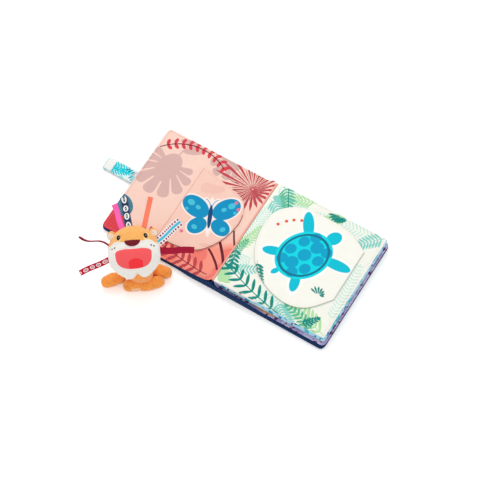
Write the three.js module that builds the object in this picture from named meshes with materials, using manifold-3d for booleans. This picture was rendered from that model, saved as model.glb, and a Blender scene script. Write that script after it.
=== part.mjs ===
// Crinkle cloth book, lying open at its first spread, with a stuffed toy lion beside it.
// Millimetres, +Z up. +X runs from the left page to the right page, +Y from the near edge to the far
// edge. The origin is under the seam, halfway along it, on the surface that the book lies on.

import * as THREE from 'three';
import { mergeVertices } from 'three/addons/utils/BufferGeometryUtils.js';
import Module from 'manifold-3d';

const wasm = await Module();
wasm.setup();

// Pages and covers
const pageWidth = 180;
const pageDepth = 180;
const pageCornerRadius = 3;
const coverOverhang = 3;
const coverThickness = 8;
const coverCornerRadius = 8;
const coverWall = 1.5;
const coverRim = 9;
const linerThickness = 1.4;
const linerBorder = 1.4;
const gutterHalfWidth = 14;
const edgeDraw = 2.2;

// Leaves and flaps
const leafThickness = 7;
const leafEdgeDraw = 1.5;
const leafFilmThickness = 0.6;
const leafFilmMargin = 12;
const flapThickness = 2.1;
const flapFilmThickness = 0.3;
const flapFilmMargin = 7;
const flapEdgeDraw = 0.5;
const rearPatchThickness = 1.5;
const rearPatchHalfWidth = 68;
const rearPatchHalfDepth = 52;
const rearPatchEdgeWidth = 4;
const rearPatchOverrun = 0.4;
const layerGap = 0.3;

// Spine and seam
const seamRadius = 2.4;
const gutterClothThickness = 0.7;
const spineHalfWidth = 9.4;
const spineTopHalfWidth = 3.6;

// Closing tab
const tabWidth = 21;
const tabClothThickness = 1.2;
const tabHeight = 2.1;
const tabTipLength = 15;
const tabCornerRadius = 3;
const hookThickness = 1.2;
const hookMargin = 1.2;
const loopPatchLength = 22;
const loopPatchWidth = 26;
const loopPatchInset = 7;

// Toy lion
const toyX = -100;
const headHalfWidth = 36;
const headHalfHeight = 37;
const headHalfDepth = 26;
const headTurn = THREE.MathUtils.degToRad(32);
const headTilt = THREE.MathUtils.degToRad(50);
const headRoll = THREE.MathUtils.degToRad(4);
const muzzleStand = 5.5;
const muzzleDrop = 4.5;
const eyeRadius = 2.7;
const eyeSpread = 18.5;
const eyeRise = 24;
const earHalfWidth = 6.5;
const earHalfHeight = 7;
const earHalfDepth = 3.5;
const earAngle = THREE.MathUtils.degToRad(49);
const noseHalfWidth = 10.5;
const noseHeight = 6.4;
const noseRise = 20;
const mouthHalfWidth = 25;
const mouthDrop = 20;
const mouthLift = 8;
const mouthRise = 2.5;
const feltThickness = 1.2;
const bodyHalfWidth = 21;
const bodyHalfDepth = 17;
const bodyHalfHeight = 28;
const neckSink = 10;
const armHalfLength = 18;
const footHalfLength = 19;
const limbHalfWidth = 9.5;
const toyFlat = 0.5;
const toyGap = 0.3;

// Ribbon tags
const ribbonLength = 48;
const ribbonWidth = 9;
const ribbonThickness = 0.6;
const ribbonBend = 2.5;
const ribbonStandOff = 0.9;
const ribbonSteps = 8;

// Levels, from the surface that the book lies on upwards
const shellTop = coverThickness - linerThickness;
const rearPatchTop = coverThickness + rearPatchThickness;
const leafBBottom = rearPatchTop + layerGap;
const leafABottom = leafBBottom + leafThickness + layerGap;
const leafATop = leafABottom + leafThickness;
const closedLinerHeight = leafATop + 2 * flapThickness + 4 * layerGap;
const seamHeight = (closedLinerHeight + coverThickness) / 2;

// Outlines in plan
const coverEdge = pageWidth + coverOverhang;
const coverHalfDepth = pageDepth / 2 + coverOverhang;
const coverStart = spineHalfWidth + 2 * layerGap;
const clothStart = seamRadius + layerGap;

const materials = {
  navy: new THREE.MeshStandardMaterial({ color: 0x123a66, roughness: 0.9 }),
  coral: new THREE.MeshStandardMaterial({ color: 0xff9d88, roughness: 0.9 }),
  lilac: new THREE.MeshStandardMaterial({ color: 0xb6a8d8, roughness: 0.9 }),
  wadding: new THREE.MeshStandardMaterial({ color: 0xf2f0ea, roughness: 1 }),
  cream: new THREE.MeshStandardMaterial({ color: 0xf4f2e4, roughness: 0.9 }),
  pink: new THREE.MeshStandardMaterial({ color: 0xf9d2c4, roughness: 0.9 }),
  paleBlue: new THREE.MeshStandardMaterial({ color: 0xa9dcec, roughness: 0.9 }),
  film: new THREE.MeshStandardMaterial({ color: 0xdfe6ea, roughness: 0.3, metalness: 0.1 }),
  tan: new THREE.MeshStandardMaterial({ color: 0xd9a05a, roughness: 0.9 }),
  turquoise: new THREE.MeshStandardMaterial({ color: 0x35bfc4, roughness: 0.9 }),
  white: new THREE.MeshStandardMaterial({ color: 0xf3f1ec, roughness: 0.95 }),
  loop: new THREE.MeshStandardMaterial({ color: 0x24405e, roughness: 1 }),
  maroon: new THREE.MeshStandardMaterial({ color: 0x7a1230, roughness: 0.9 }),
  orangePlush: new THREE.MeshStandardMaterial({ color: 0xf6ad5a, roughness: 1 }),
  pawPlush: new THREE.MeshStandardMaterial({ color: 0xf0943a, roughness: 1 }),
  mouth: new THREE.MeshStandardMaterial({ color: 0xff5a5e, roughness: 0.9 }),
  thread: new THREE.MeshStandardMaterial({ color: 0x26120f, roughness: 0.6 }),
  red: new THREE.MeshStandardMaterial({ color: 0xc4123c, roughness: 0.8 }),
  burgundy: new THREE.MeshStandardMaterial({ color: 0x96102f, roughness: 0.6 }),
  magenta: new THREE.MeshStandardMaterial({ color: 0xf653a6, roughness: 0.6 }),
  orange: new THREE.MeshStandardMaterial({ color: 0xfb7a5c, roughness: 0.6 }),
};

const book = new THREE.Group();

function addMesh(name, geometry, material) {
  const mesh = new THREE.Mesh(geometry, material);
  mesh.name = name;
  book.add(mesh);
  return mesh;
}

// Conversions between three.js geometry and solids for booleans
function toSolid(geometry) {
  const bare = geometry.clone();
  bare.deleteAttribute('normal');
  bare.deleteAttribute('uv');
  const merged = mergeVertices(bare);
  return new wasm.Manifold(new wasm.Mesh({
    numProp: 3,
    vertProperties: new Float32Array(merged.attributes.position.array),
    triVerts: new Uint32Array(merged.index.array),
  }));
}

function toGeometry(solid) {
  const data = solid.getMesh();
  const geometry = new THREE.BufferGeometry();
  geometry.setAttribute('position', new THREE.BufferAttribute(data.vertProperties.slice(), 3));
  geometry.setIndex(new THREE.BufferAttribute(data.triVerts.slice(), 1));
  const flat = geometry.toNonIndexed();
  flat.computeVertexNormals();
  return flat;
}

// Counter-clockwise outline of a rectangle with rounded corners
function roundedOutline(x0, x1, y0, y1, radius, steps = 5) {
  const corners = [
    [x1 - radius, y1 - radius, 0],
    [x0 + radius, y1 - radius, 1],
    [x0 + radius, y0 + radius, 2],
    [x1 - radius, y0 + radius, 3],
  ];
  const points = [];
  for (const [x, y, quarter] of corners) {
    for (let i = 0; i <= steps; i += 1) {
      const angle = (quarter + i / steps) * Math.PI / 2;
      points.push(new THREE.Vector2(x + radius * Math.cos(angle), y + radius * Math.sin(angle)));
    }
  }
  return points;
}

// Rounded rectangle that lies one margin inside a panel
function innerPanel(x0, x1, half, margin) {
  return roundedOutline(x0 + margin, x1 - margin, margin - half, half - margin, pageCornerRadius, 3);
}

function ellipseOutline(x, y, halfX, halfY, steps) {
  const points = [];
  for (let i = 0; i < steps; i += 1) {
    const angle = i / steps * 2 * Math.PI;
    points.push(new THREE.Vector2(x + halfX * Math.cos(angle), y + halfY * Math.sin(angle)));
  }
  return points;
}

// The outline moved inwards by one distance, corner by corner
function insetOutline(points, inset) {
  return points.map((point, i) => {
    const before = points[(i + points.length - 1) % points.length];
    const after = points[(i + 1) % points.length];
    const into = point.clone().sub(before).normalize();
    const out = after.clone().sub(point).normalize();
    const normalIn = new THREE.Vector2(-into.y, into.x);
    const normalOut = new THREE.Vector2(-out.y, out.x);
    const mitre = normalIn.clone().add(normalOut).normalize();
    return point.clone().addScaledVector(mitre, inset / mitre.dot(normalIn));
  });
}

// Closed body through rings of one outline, each at its height and with its inset
function pillow(points, levels) {
  const rings = levels.map(([z, inset]) => insetOutline(points, inset).map((p) => [p.x, p.y, z]));
  const positions = rings.flat(2);
  const count = points.length;
  const index = [];
  for (let ring = 0; ring + 1 < rings.length; ring += 1) {
    for (let i = 0; i < count; i += 1) {
      const a = ring * count + i;
      const b = ring * count + (i + 1) % count;
      index.push(a, b, b + count, a, b + count, a + count);
    }
  }
  const top = (rings.length - 1) * count;
  const topRing = insetOutline(points, levels[levels.length - 1][1]);
  const bottomRing = insetOutline(points, levels[0][1]);
  for (const [a, b, c] of THREE.ShapeUtils.triangulateShape(topRing, [])) {
    index.push(top + a, top + b, top + c);
  }
  for (const [a, b, c] of THREE.ShapeUtils.triangulateShape(bottomRing, [])) {
    index.push(c, b, a);
  }
  const geometry = new THREE.BufferGeometry();
  geometry.setAttribute('position', new THREE.Float32BufferAttribute(positions, 3));
  geometry.setIndex(index);
  return geometry;
}

// Bar of constant section along Y; the section is given as (x, z) points
function barAlongY(section, length) {
  const shape = new THREE.Shape(section.map(([x, z]) => new THREE.Vector2(x, z)));
  const geometry = new THREE.ExtrudeGeometry(shape, { depth: length, bevelEnabled: false });
  geometry.rotateX(Math.PI / 2);
  geometry.translate(0, length / 2, 0);
  return geometry;
}

// Strip of cloth in section, from near the seam to a point (x, z)
function stripSection(x, z, side) {
  const direction = new THREE.Vector2(x, z - seamHeight).normalize();
  const normal = new THREE.Vector2(-direction.y, direction.x).multiplyScalar(side * gutterClothThickness / 2);
  const start = direction.clone().multiplyScalar(clothStart);
  start.y += seamHeight;
  return [
    [start.x + normal.x, start.y + normal.y],
    [start.x - normal.x, start.y - normal.y],
    [x - normal.x, z - normal.y],
    [x + normal.x, z + normal.y],
  ];
}

function unite(...geometries) {
  return toGeometry(geometries.map(toSolid).reduce((a, b) => a.add(b)));
}

function cut(geometry, ...cutters) {
  return toGeometry(cutters.map(toSolid).reduce((a, b) => a.subtract(b), toSolid(geometry)));
}

// One padded cover: outer shell with a well for the wadding, and the printed lining on top
function addCover(prefix, side, linerMaterial, patchCutter) {
  const x0 = side > 0 ? coverStart : -coverEdge;
  const x1 = side > 0 ? coverEdge : -coverStart;
  const outline = roundedOutline(x0, x1, -coverHalfDepth, coverHalfDepth, coverCornerRadius);
  const shell = pillow(outline, [
    [0, edgeDraw],
    [shellTop * 0.2, edgeDraw * 0.3],
    [shellTop * 0.5, 0],
    [shellTop * 0.8, edgeDraw * 0.3],
    [shellTop, edgeDraw],
  ]);
  const well = pillow(innerPanel(x0, x1, coverHalfDepth, coverRim), [[coverWall, 0], [coverThickness, 0]]);
  const cutters = patchCutter ? [well, patchCutter] : [well];
  addMesh(`${prefix}_cover_cloth`, cut(shell, ...cutters), materials.navy);
  const wadding = pillow(innerPanel(x0, x1, coverHalfDepth, coverRim + layerGap), [
    [coverWall, 0],
    [shellTop, 0],
  ]);
  addMesh(`${prefix}_cover_wadding`, wadding, materials.wadding);
  const linerX0 = side > 0 ? gutterHalfWidth : x0 + linerBorder;
  const linerX1 = side > 0 ? x1 - linerBorder : -gutterHalfWidth;
  const linerHalf = coverHalfDepth - linerBorder;
  const linerOutline = roundedOutline(linerX0, linerX1, -linerHalf, linerHalf, coverCornerRadius - linerBorder);
  const liner = pillow(linerOutline, [
    [shellTop, 0],
    [shellTop + linerThickness / 2, linerThickness * 0.2],
    [coverThickness, linerThickness],
  ]);
  addMesh(`${prefix}_cover_lining`, liner, linerMaterial);
  const strip = stripSection(side * (gutterHalfWidth - layerGap), shellTop + linerThickness / 2 + layerGap, side);
  const section = side > 0 ? strip : strip.slice().reverse();
  addMesh(`${prefix}_gutter_cloth`, barAlongY(section, pageDepth), linerMaterial);
}

const loopOutline = roundedOutline(
  coverEdge - loopPatchInset - loopPatchLength,
  coverEdge - loopPatchInset,
  -loopPatchWidth / 2,
  loopPatchWidth / 2,
  tabCornerRadius,
);
const loopPatchDepth = coverWall / 2;
const loopRecess = pillow(insetOutline(loopOutline, -layerGap), [[-coverWall, 0], [loopPatchDepth, 0]]);
addCover('back', 1, materials.lilac, loopRecess);
addCover('front', -1, materials.coral, null);
addMesh('loop_patch', pillow(loopOutline, [[0, 0], [loopPatchDepth, 0]]), materials.loop);

// Padded spine under the seam, and the sewn seam that the layers meet in
const spineTop = seamHeight - seamRadius - layerGap;
const spineSection = [
  [-spineHalfWidth, 0],
  [spineHalfWidth, 0],
  [spineHalfWidth * 0.96, spineTop * 0.28],
  [spineTopHalfWidth * 1.4, spineTop * 0.72],
  [spineTopHalfWidth * 0.7, spineTop],
  [-spineTopHalfWidth * 0.7, spineTop],
  [-spineTopHalfWidth * 1.4, spineTop * 0.72],
  [-spineHalfWidth * 0.96, spineTop * 0.28],
];
addMesh('spine_roll', barAlongY(spineSection, 2 * coverHalfDepth), materials.navy);
const seam = new THREE.CylinderGeometry(seamRadius, seamRadius, pageDepth, 16);
seam.translate(0, 0, seamHeight);
addMesh('spine_seam', seam, materials.cream);

// Cream patch with a bound edge, sewn on the back lining
const rearPatchX = gutterHalfWidth + rearPatchEdgeWidth + rearPatchHalfWidth;
const rearPatchY = -pageDepth / 2 - rearPatchOverrun + rearPatchHalfDepth;
const rearPatchOutline = ellipseOutline(rearPatchX, rearPatchY, rearPatchHalfWidth, rearPatchHalfDepth, 48);
const rearPatchHole = insetOutline(rearPatchOutline, rearPatchEdgeWidth);
const rearPatchInner = insetOutline(rearPatchOutline, rearPatchEdgeWidth + layerGap);
addMesh('rear_patch_edge', cut(
  pillow(rearPatchOutline, [[coverThickness, 0], [rearPatchTop, 0]]),
  pillow(rearPatchHole, [[0, 0], [leafBBottom, 0]]),
), materials.tan);
addMesh('rear_patch_cloth', pillow(rearPatchInner, [
  [coverThickness, 0],
  [rearPatchTop, layerGap],
]), materials.cream);

// One turning leaf: back cloth, crinkle film and front cloth with its gutter strip
function addLeaf(prefix, bottom, frontMaterial) {
  const outline = roundedOutline(
    gutterHalfWidth,
    pageWidth,
    -pageDepth / 2,
    pageDepth / 2,
    pageCornerRadius,
    2,
  );
  const clothThickness = (leafThickness - leafFilmThickness) / 2;
  const filmBottom = bottom + clothThickness;
  const filmTop = filmBottom + leafFilmThickness;
  const top = bottom + leafThickness;
  addMesh(`${prefix}_back_cloth`, pillow(outline, [
    [bottom, leafEdgeDraw],
    [bottom + clothThickness / 2, leafEdgeDraw * 0.3],
    [filmBottom, 0],
  ]), materials.paleBlue);
  const filmOutline = innerPanel(gutterHalfWidth, pageWidth, pageDepth / 2, leafFilmMargin);
  addMesh(`${prefix}_crinkle_film`, pillow(filmOutline, [[filmBottom, 0], [filmTop, 0]]), materials.film);
  const panel = pillow(outline, [
    [filmTop, 0],
    [top - clothThickness / 2, leafEdgeDraw * 0.3],
    [top, leafEdgeDraw],
  ]);
  const stripEnd = gutterHalfWidth + leafEdgeDraw;
  const strip = barAlongY(
    stripSection(stripEnd, filmTop + clothThickness / 2, 1),
    pageDepth - 2 * leafEdgeDraw,
  );
  addMesh(`${prefix}_front_cloth`, unite(panel, strip), frontMaterial);
}

addLeaf('leaf_a', leafABottom, materials.cream);
addLeaf('leaf_b', leafBBottom, materials.paleBlue);

// One lift-up flap: two cloths with crinkle film between them
function addFlap(prefix, outline, bottom, frontMaterial, backMaterial) {
  const clothThickness = (flapThickness - flapFilmThickness) / 2;
  const filmBottom = bottom + clothThickness;
  const filmTop = filmBottom + flapFilmThickness;
  addMesh(`${prefix}_back_cloth`, pillow(outline, [
    [bottom, flapEdgeDraw],
    [filmBottom, 0],
  ]), backMaterial);
  const filmOutline = insetOutline(outline, flapFilmMargin);
  addMesh(`${prefix}_crinkle_film`, pillow(filmOutline, [[filmBottom, 0], [filmTop, 0]]), materials.film);
  addMesh(`${prefix}_front_cloth`, pillow(outline, [
    [filmTop, 0],
    [bottom + flapThickness, flapEdgeDraw],
  ]), frontMaterial);
}

// Flap outlines as shares of the page: across from the gutter, and from the far edge to the near edge.
// The first and last point are the ends of the straight sewn edge.
const leftFlapShares = [
  [0.58, 0.155],
  [0.37, 0.195],
  [0.18, 0.245],
  [0.1, 0.37],
  [0.092, 0.5],
  [0.14, 0.67],
  [0.25, 0.815],
  [0.42, 0.868],
  [0.58, 0.87],
];
const rightFlapShares = [
  [0.9, 0.2],
  [0.74, 0.11],
  [0.54, 0.09],
  [0.3, 0.105],
  [0.14, 0.22],
  [0.1, 0.4],
  [0.16, 0.63],
  [0.32, 0.81],
  [0.56, 0.895],
  [0.75, 0.85],
  [0.9, 0.68],
];
const flapSteps = 36;

function flapOutline(shares, side) {
  const points = shares.map(([across, down]) => new THREE.Vector2(
    side * across * pageWidth,
    pageDepth / 2 - down * pageDepth,
  ));
  const outline = new THREE.SplineCurve(points).getPoints(flapSteps);
  return THREE.ShapeUtils.isClockWise(outline) ? outline.reverse() : outline;
}

const leftFlapOutline = flapOutline(leftFlapShares, -1);
const rightFlapOutline = flapOutline(rightFlapShares, 1);
addFlap('left_flap', leftFlapOutline, coverThickness + layerGap, materials.pink, materials.cream);
addFlap('right_flap', rightFlapOutline, leafATop + layerGap, materials.cream, materials.paleBlue);

// Closing tab: a root that bends up at the cover's edge, and a tip that bends again
const tabTop = tabHeight + 2 * tabClothThickness;
const tabHinge = coverEdge + 2 * layerGap;
const closedTabDrop = 2 * seamHeight - tabTop + hookThickness + layerGap;
const tabTipHinge = tabHinge + closedTabDrop;
const tabEnd = tabTipHinge + tabTipLength;

function addTabSegment(prefix, from, to, rounded) {
  const half = tabWidth / 2;
  const outline = rounded
    ? [
      new THREE.Vector2(-from, half),
      ...roundedOutline(-to, -from, -half, half, tabCornerRadius, 4).filter((p) => p.x < -(from + to) / 2),
      new THREE.Vector2(-from, -half),
    ]
    : [
      new THREE.Vector2(-from, half),
      new THREE.Vector2(-to, half),
      new THREE.Vector2(-to, -half),
      new THREE.Vector2(-from, -half),
    ];
  const middle = tabHeight + tabClothThickness;
  addMesh(`${prefix}_backing`, pillow(outline, [[tabHeight, 0], [middle, 0]]), materials.navy);
  addMesh(`${prefix}_print`, pillow(outline, [[middle, 0], [tabTop, 0]]), materials.turquoise);
}

addTabSegment('tab_root', tabHinge + layerGap, tabTipHinge - layerGap, false);
addTabSegment('tab_tip', tabTipHinge + layerGap, tabEnd, true);
const hookOutline = roundedOutline(
  -(tabEnd - hookMargin),
  -(tabTipHinge + hookMargin),
  -(tabWidth / 2 - hookMargin),
  tabWidth / 2 - hookMargin,
  tabCornerRadius - hookMargin,
  3,
);
addMesh('tab_hook_patch', pillow(hookOutline, [[tabTop, 0], [tabTop + hookThickness, 0]]), materials.white);

// Toy lion. The face's own frame has X to its right, Y up it and Z out of it.
const faceOut = new THREE.Vector3(
  Math.sin(headTurn) * Math.cos(headTilt),
  -Math.cos(headTurn) * Math.cos(headTilt),
  Math.sin(headTilt),
);
const faceRight = new THREE.Vector3(Math.cos(headTurn), Math.sin(headTurn), 0);
const faceUp = faceOut.clone().cross(faceRight);
const faceTurn = new THREE.Matrix4().makeBasis(faceRight, faceUp, faceOut);
faceTurn.multiply(new THREE.Matrix4().makeRotationZ(headRoll));

const origin = new THREE.Vector3();
const headHalf = new THREE.Vector3(headHalfWidth, headHalfHeight, headHalfDepth);
const muzzleHalf = new THREE.Vector3(headHalfWidth, headHalfHeight * 0.84, headHalfDepth * 0.92);
const muzzleCentre = new THREE.Vector3(0, -muzzleDrop, muzzleStand);
const bodyHalf = new THREE.Vector3(bodyHalfWidth, bodyHalfDepth, bodyHalfHeight);
const armHalf = new THREE.Vector3(armHalfLength, limbHalfWidth, limbHalfWidth);
const footHalf = new THREE.Vector3(footHalfLength, limbHalfWidth, limbHalfWidth);

function ellipsoid(half, centre, grow = 0, across = 20, up = 12) {
  const geometry = new THREE.SphereGeometry(1, across, up);
  geometry.scale(half.x + grow, half.y + grow, half.z + grow);
  geometry.translate(centre.x, centre.y, centre.z);
  return geometry;
}

const headForm = (grow) => ellipsoid(headHalf, origin, grow, 32, 20);
const muzzleForm = (grow) => ellipsoid(muzzleHalf, muzzleCentre, grow, 32, 20);

function earForm(side) {
  const half = new THREE.Vector3(earHalfWidth, earHalfHeight, earHalfDepth);
  const ear = ellipsoid(half, new THREE.Vector3(0, headHalfHeight + earHalfHeight * 0.1, 0), 0, 14, 10);
  ear.rotateZ(-side * earAngle);
  return ear;
}

// The toy stands in front of the cover's near edge, clear of it, with its head on its body
function farReach(geometry) {
  const turned = geometry.clone().applyMatrix4(faceTurn);
  turned.computeBoundingBox();
  return turned.boundingBox;
}

const toyFront = -coverHalfDepth - 2 * toyGap;
const headReach = Math.max(farReach(headForm(0)).max.y, farReach(earForm(1)).max.y);
const bodyTop = 2 * bodyHalfHeight - toyFlat;
const headZ = bodyTop - neckSink - Math.min(farReach(headForm(0)).min.z, farReach(muzzleForm(0)).min.z);
const headCentre = new THREE.Vector3(toyX, toyFront - headReach, headZ);
const bodyCentre = new THREE.Vector3(
  toyX + headHalfWidth * 0.15,
  headCentre.y,
  bodyHalfHeight - toyFlat,
);
const faceFrame = faceTurn.clone().setPosition(headCentre);

function addOnHead(name, geometry, material) {
  addMesh(name, geometry.applyMatrix4(faceFrame), material);
}

// Outline about a level line: a deep curve below it and a shallow one above, fuller than a circle's
// where the share that the sine and cosine are raised to is less than one
function smileOutline(halfWidth, rise, drop, lift, steps, fullness) {
  const fuller = (value) => Math.sign(value) * Math.abs(value) ** fullness;
  const points = [];
  for (let i = 0; i < 2 * steps; i += 1) {
    const angle = Math.PI + (i + 0.5) / steps * Math.PI;
    const depth = i < steps ? drop : lift;
    const x = halfWidth * fuller(Math.cos(angle));
    points.push(new THREE.Vector2(x, rise + depth * fuller(Math.sin(angle))));
  }
  return points;
}

// Felt layer on the face inside an outline, standing off the plush below it
function faceLayer(points, thickness) {
  const prism = new THREE.ExtrudeGeometry(new THREE.Shape(points), {
    depth: 2 * headHalfDepth,
    bevelEnabled: false,
  });
  const grown = toSolid(headForm(toyGap + thickness)).add(toSolid(muzzleForm(toyGap + thickness)));
  const layer = grown.intersect(toSolid(prism));
  return toGeometry(layer.subtract(toSolid(headForm(toyGap))).subtract(toSolid(muzzleForm(toyGap))));
}

const mouthOutline = smileOutline(mouthHalfWidth, mouthRise, mouthDrop, mouthLift, 16, 0.72);
const noseOutline = smileOutline(noseHalfWidth, noseRise, noseHeight, noseHeight * 0.4, 8, 1);
addOnHead('lion_head', headForm(0), materials.orangePlush);
addOnHead('lion_muzzle', cut(muzzleForm(0), headForm(toyGap)), materials.white);
addOnHead('lion_mouth', faceLayer(mouthOutline, feltThickness), materials.mouth);
addOnHead('lion_nose', faceLayer(noseOutline, 1.5 * feltThickness), materials.maroon);

for (const [side, word] of [[-1, 'left'], [1, 'right']]) {
  const eyeX = side * eyeSpread;
  const share = 1 - (eyeX / headHalfWidth) ** 2 - (eyeRise / headHalfHeight) ** 2;
  const eyeCentre = new THREE.Vector3(eyeX, eyeRise, headHalfDepth * Math.sqrt(share));
  const eyeHalf = new THREE.Vector3(eyeRadius * 0.8, eyeRadius, eyeRadius * 0.8);
  const eye = ellipsoid(eyeHalf, eyeCentre, 0, 12, 8);
  addOnHead(`lion_${word}_eye`, cut(eye, headForm(toyGap)), materials.thread);
  addOnHead(`lion_${word}_ear`, cut(earForm(side), headForm(toyGap)), materials.orangePlush);
}

// Body and limbs stand on the surface that the book lies on, and are cut flat there
const headCutter = headForm(toyGap).applyMatrix4(faceFrame);
const muzzleCutter = muzzleForm(toyGap).applyMatrix4(faceFrame);
const ground = new THREE.BoxGeometry(8 * headHalfWidth, 8 * headHalfWidth, headHalfWidth);
ground.translate(headCentre.x, headCentre.y, -headHalfWidth / 2);

function limbForm(half, place, turn, grow) {
  const geometry = new THREE.SphereGeometry(1, 18, 12);
  geometry.scale(half.x + grow, half.y + grow, half.z + grow);
  geometry.rotateZ(THREE.MathUtils.degToRad(turn));
  geometry.translate(place.x, place.y, half.z - toyFlat);
  return geometry;
}

addMesh(
  'lion_body',
  cut(ellipsoid(bodyHalf, bodyCentre, 0, 24, 14), headCutter, muzzleCutter, ground),
  materials.pawPlush,
);

// Limbs: name, form, place as shares of the body's half sizes from its centre, and turn in degrees
const limbShares = [
  ['lion_left_arm', armHalf, -1.3, -1.45, 50],
  ['lion_right_arm', armHalf, 1.0, 1.15, 20],
  ['lion_left_foot', footHalf, 0.2, -0.8, 45],
  ['lion_right_foot', footHalf, 1.0, -0.15, 48],
];
const limbCutters = [ellipsoid(bodyHalf, bodyCentre, toyGap, 24, 14), headCutter, muzzleCutter, ground];
for (const [name, half, acrossShare, backShare, turn] of limbShares) {
  const place = new THREE.Vector2(
    bodyCentre.x + acrossShare * bodyHalfWidth,
    bodyCentre.y + backShare * bodyHalfDepth,
  );
  const turned = THREE.MathUtils.degToRad(turn);
  const reach = Math.hypot(half.x * Math.sin(turned), half.y * Math.cos(turned));
  place.y = Math.min(place.y, toyFront - reach);
  addMesh(name, cut(limbForm(half, place, turn, 0), ...limbCutters), materials.pawPlush);
  limbCutters.push(limbForm(half, place, turn, toyGap));
}

// Ribbon tag in the face's frame: it leaves the head's rim at one angle, runs in the direction of
// another and leans back from the face by a third, all in degrees. Its width lies in the face's
// plane, or square to it on a ribbon that shows its edge.
function ribbonForm(rimAngle, runAngle, leanAngle, length, width, edgeOn) {
  const [rim, run, lean] = [rimAngle, runAngle, leanAngle].map(THREE.MathUtils.degToRad);
  const start = new THREE.Vector3(
    (headHalfWidth + ribbonStandOff) * Math.cos(rim),
    (headHalfHeight + ribbonStandOff) * Math.sin(rim),
    0,
  );
  const along = new THREE.Vector3(
    Math.cos(run) * Math.cos(lean),
    Math.sin(run) * Math.cos(lean),
    -Math.sin(lean),
  );
  const inPlane = new THREE.Vector3(-Math.sin(run), Math.cos(run), 0);
  const across = edgeOn ? along.clone().cross(inPlane) : inPlane;
  const normal = along.clone().cross(across);
  const positions = [];
  for (let i = 0; i <= ribbonSteps; i += 1) {
    const share = i / ribbonSteps;
    const middle = start.clone().addScaledVector(along, share * length);
    middle.addScaledVector(normal, ribbonBend * Math.sin(2 * Math.PI * share));
    for (const [side, rise] of [[-1, -1], [1, -1], [1, 1], [-1, 1]]) {
      const corner = middle.clone().addScaledVector(across, side * width / 2);
      corner.addScaledVector(normal, rise * ribbonThickness / 2);
      positions.push(corner.x, corner.y, corner.z);
    }
  }
  const index = [0, 2, 1, 0, 3, 2];
  for (let i = 0; i < ribbonSteps; i += 1) {
    for (let side = 0; side < 4; side += 1) {
      const a = 4 * i + side;
      const b = 4 * i + (side + 1) % 4;
      index.push(a, b, b + 4, a, b + 4, a + 4);
    }
  }
  const end = 4 * ribbonSteps;
  index.push(end, end + 1, end + 2, end, end + 2, end + 3);
  const geometry = new THREE.BufferGeometry();
  geometry.setAttribute('position', new THREE.Float32BufferAttribute(positions, 3));
  geometry.setIndex(index);
  return geometry;
}

// Ribbons: name, three angles, length and width as shares of the usual ones, edge-on or not, material
const ribbonShares = [
  ['ribbon_thin_burgundy', 161, 161, 12, 0.88, 0.78, true, materials.burgundy],
  ['ribbon_red', 192, 202, 7, 0.94, 0.89, false, materials.red],
  ['ribbon_pink', 112, 108, 49, 0.9, 0.89, false, materials.magenta],
  ['ribbon_navy', 96, 99, 48, 1.02, 1.17, false, materials.navy],
  ['ribbon_orange', 62, 71, 49, 1.1, 0.78, false, materials.orange],
  ['ribbon_white', 18, 28, 46, 1.06, 1.5, false, materials.white],
  ['ribbon_burgundy', 358, 351, 18, 1, 1, false, materials.burgundy],
];
for (const [name, rim, run, lean, lengthShare, widthShare, edgeOn, material] of ribbonShares) {
  const form = ribbonForm(rim, run, lean, lengthShare * ribbonLength, widthShare * ribbonWidth, edgeOn);
  addOnHead(name, form, material);
}

export default book;
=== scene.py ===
# %% [markdown]
# # A cloth book with a toy lion
#
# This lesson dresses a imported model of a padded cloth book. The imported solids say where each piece
# is and how it moves. What they lack is cloth: drawn-in edges, stitching, printed pages, ribbons
# and plush. The cells below make such pieces, each over the solid that it stands for.

import bpy
import numpy as np
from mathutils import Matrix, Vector


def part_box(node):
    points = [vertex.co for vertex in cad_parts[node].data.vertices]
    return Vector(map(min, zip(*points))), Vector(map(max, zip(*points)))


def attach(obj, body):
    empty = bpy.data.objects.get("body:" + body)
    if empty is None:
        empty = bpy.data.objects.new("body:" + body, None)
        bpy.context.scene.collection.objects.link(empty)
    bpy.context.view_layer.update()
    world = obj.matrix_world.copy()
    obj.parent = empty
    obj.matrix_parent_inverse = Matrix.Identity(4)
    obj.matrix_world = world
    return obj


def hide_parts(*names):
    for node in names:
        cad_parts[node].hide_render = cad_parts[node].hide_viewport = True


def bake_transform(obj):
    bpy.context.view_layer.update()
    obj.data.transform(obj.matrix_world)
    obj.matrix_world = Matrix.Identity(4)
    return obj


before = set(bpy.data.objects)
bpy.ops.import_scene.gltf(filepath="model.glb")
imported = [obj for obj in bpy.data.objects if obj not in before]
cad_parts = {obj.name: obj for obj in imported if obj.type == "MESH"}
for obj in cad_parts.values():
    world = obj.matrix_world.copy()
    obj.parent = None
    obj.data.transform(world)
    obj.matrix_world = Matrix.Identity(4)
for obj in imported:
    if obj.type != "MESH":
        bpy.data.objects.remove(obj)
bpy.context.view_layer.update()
MM = 0.001

# %% [markdown]
# ## Camera
#
# The photograph was taken from far away, so its lines hardly converge. A camera that is placed by
# two angles and a distance is easy to check against the picture, and a long lens gives the same
# flat look.

# %% Camera
IMAGE_SIDE, SENSOR_WIDTH = 496, 36
AZIMUTH, ELEVATION = np.radians([30.8, 63.17])
CAMERA_DISTANCE, FOCAL_PIXELS = 3.525, 2501.7
LOOK_AT = np.array([14.72, -16.96, 10.0]) * MM


def sight(azimuth, elevation):
    """Direction from a thing to an eye that stands round to its right and above it by two angles"""
    level = np.cos(elevation)
    return np.array([np.sin(azimuth) * level, -np.cos(azimuth) * level, np.sin(elevation)])


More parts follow.
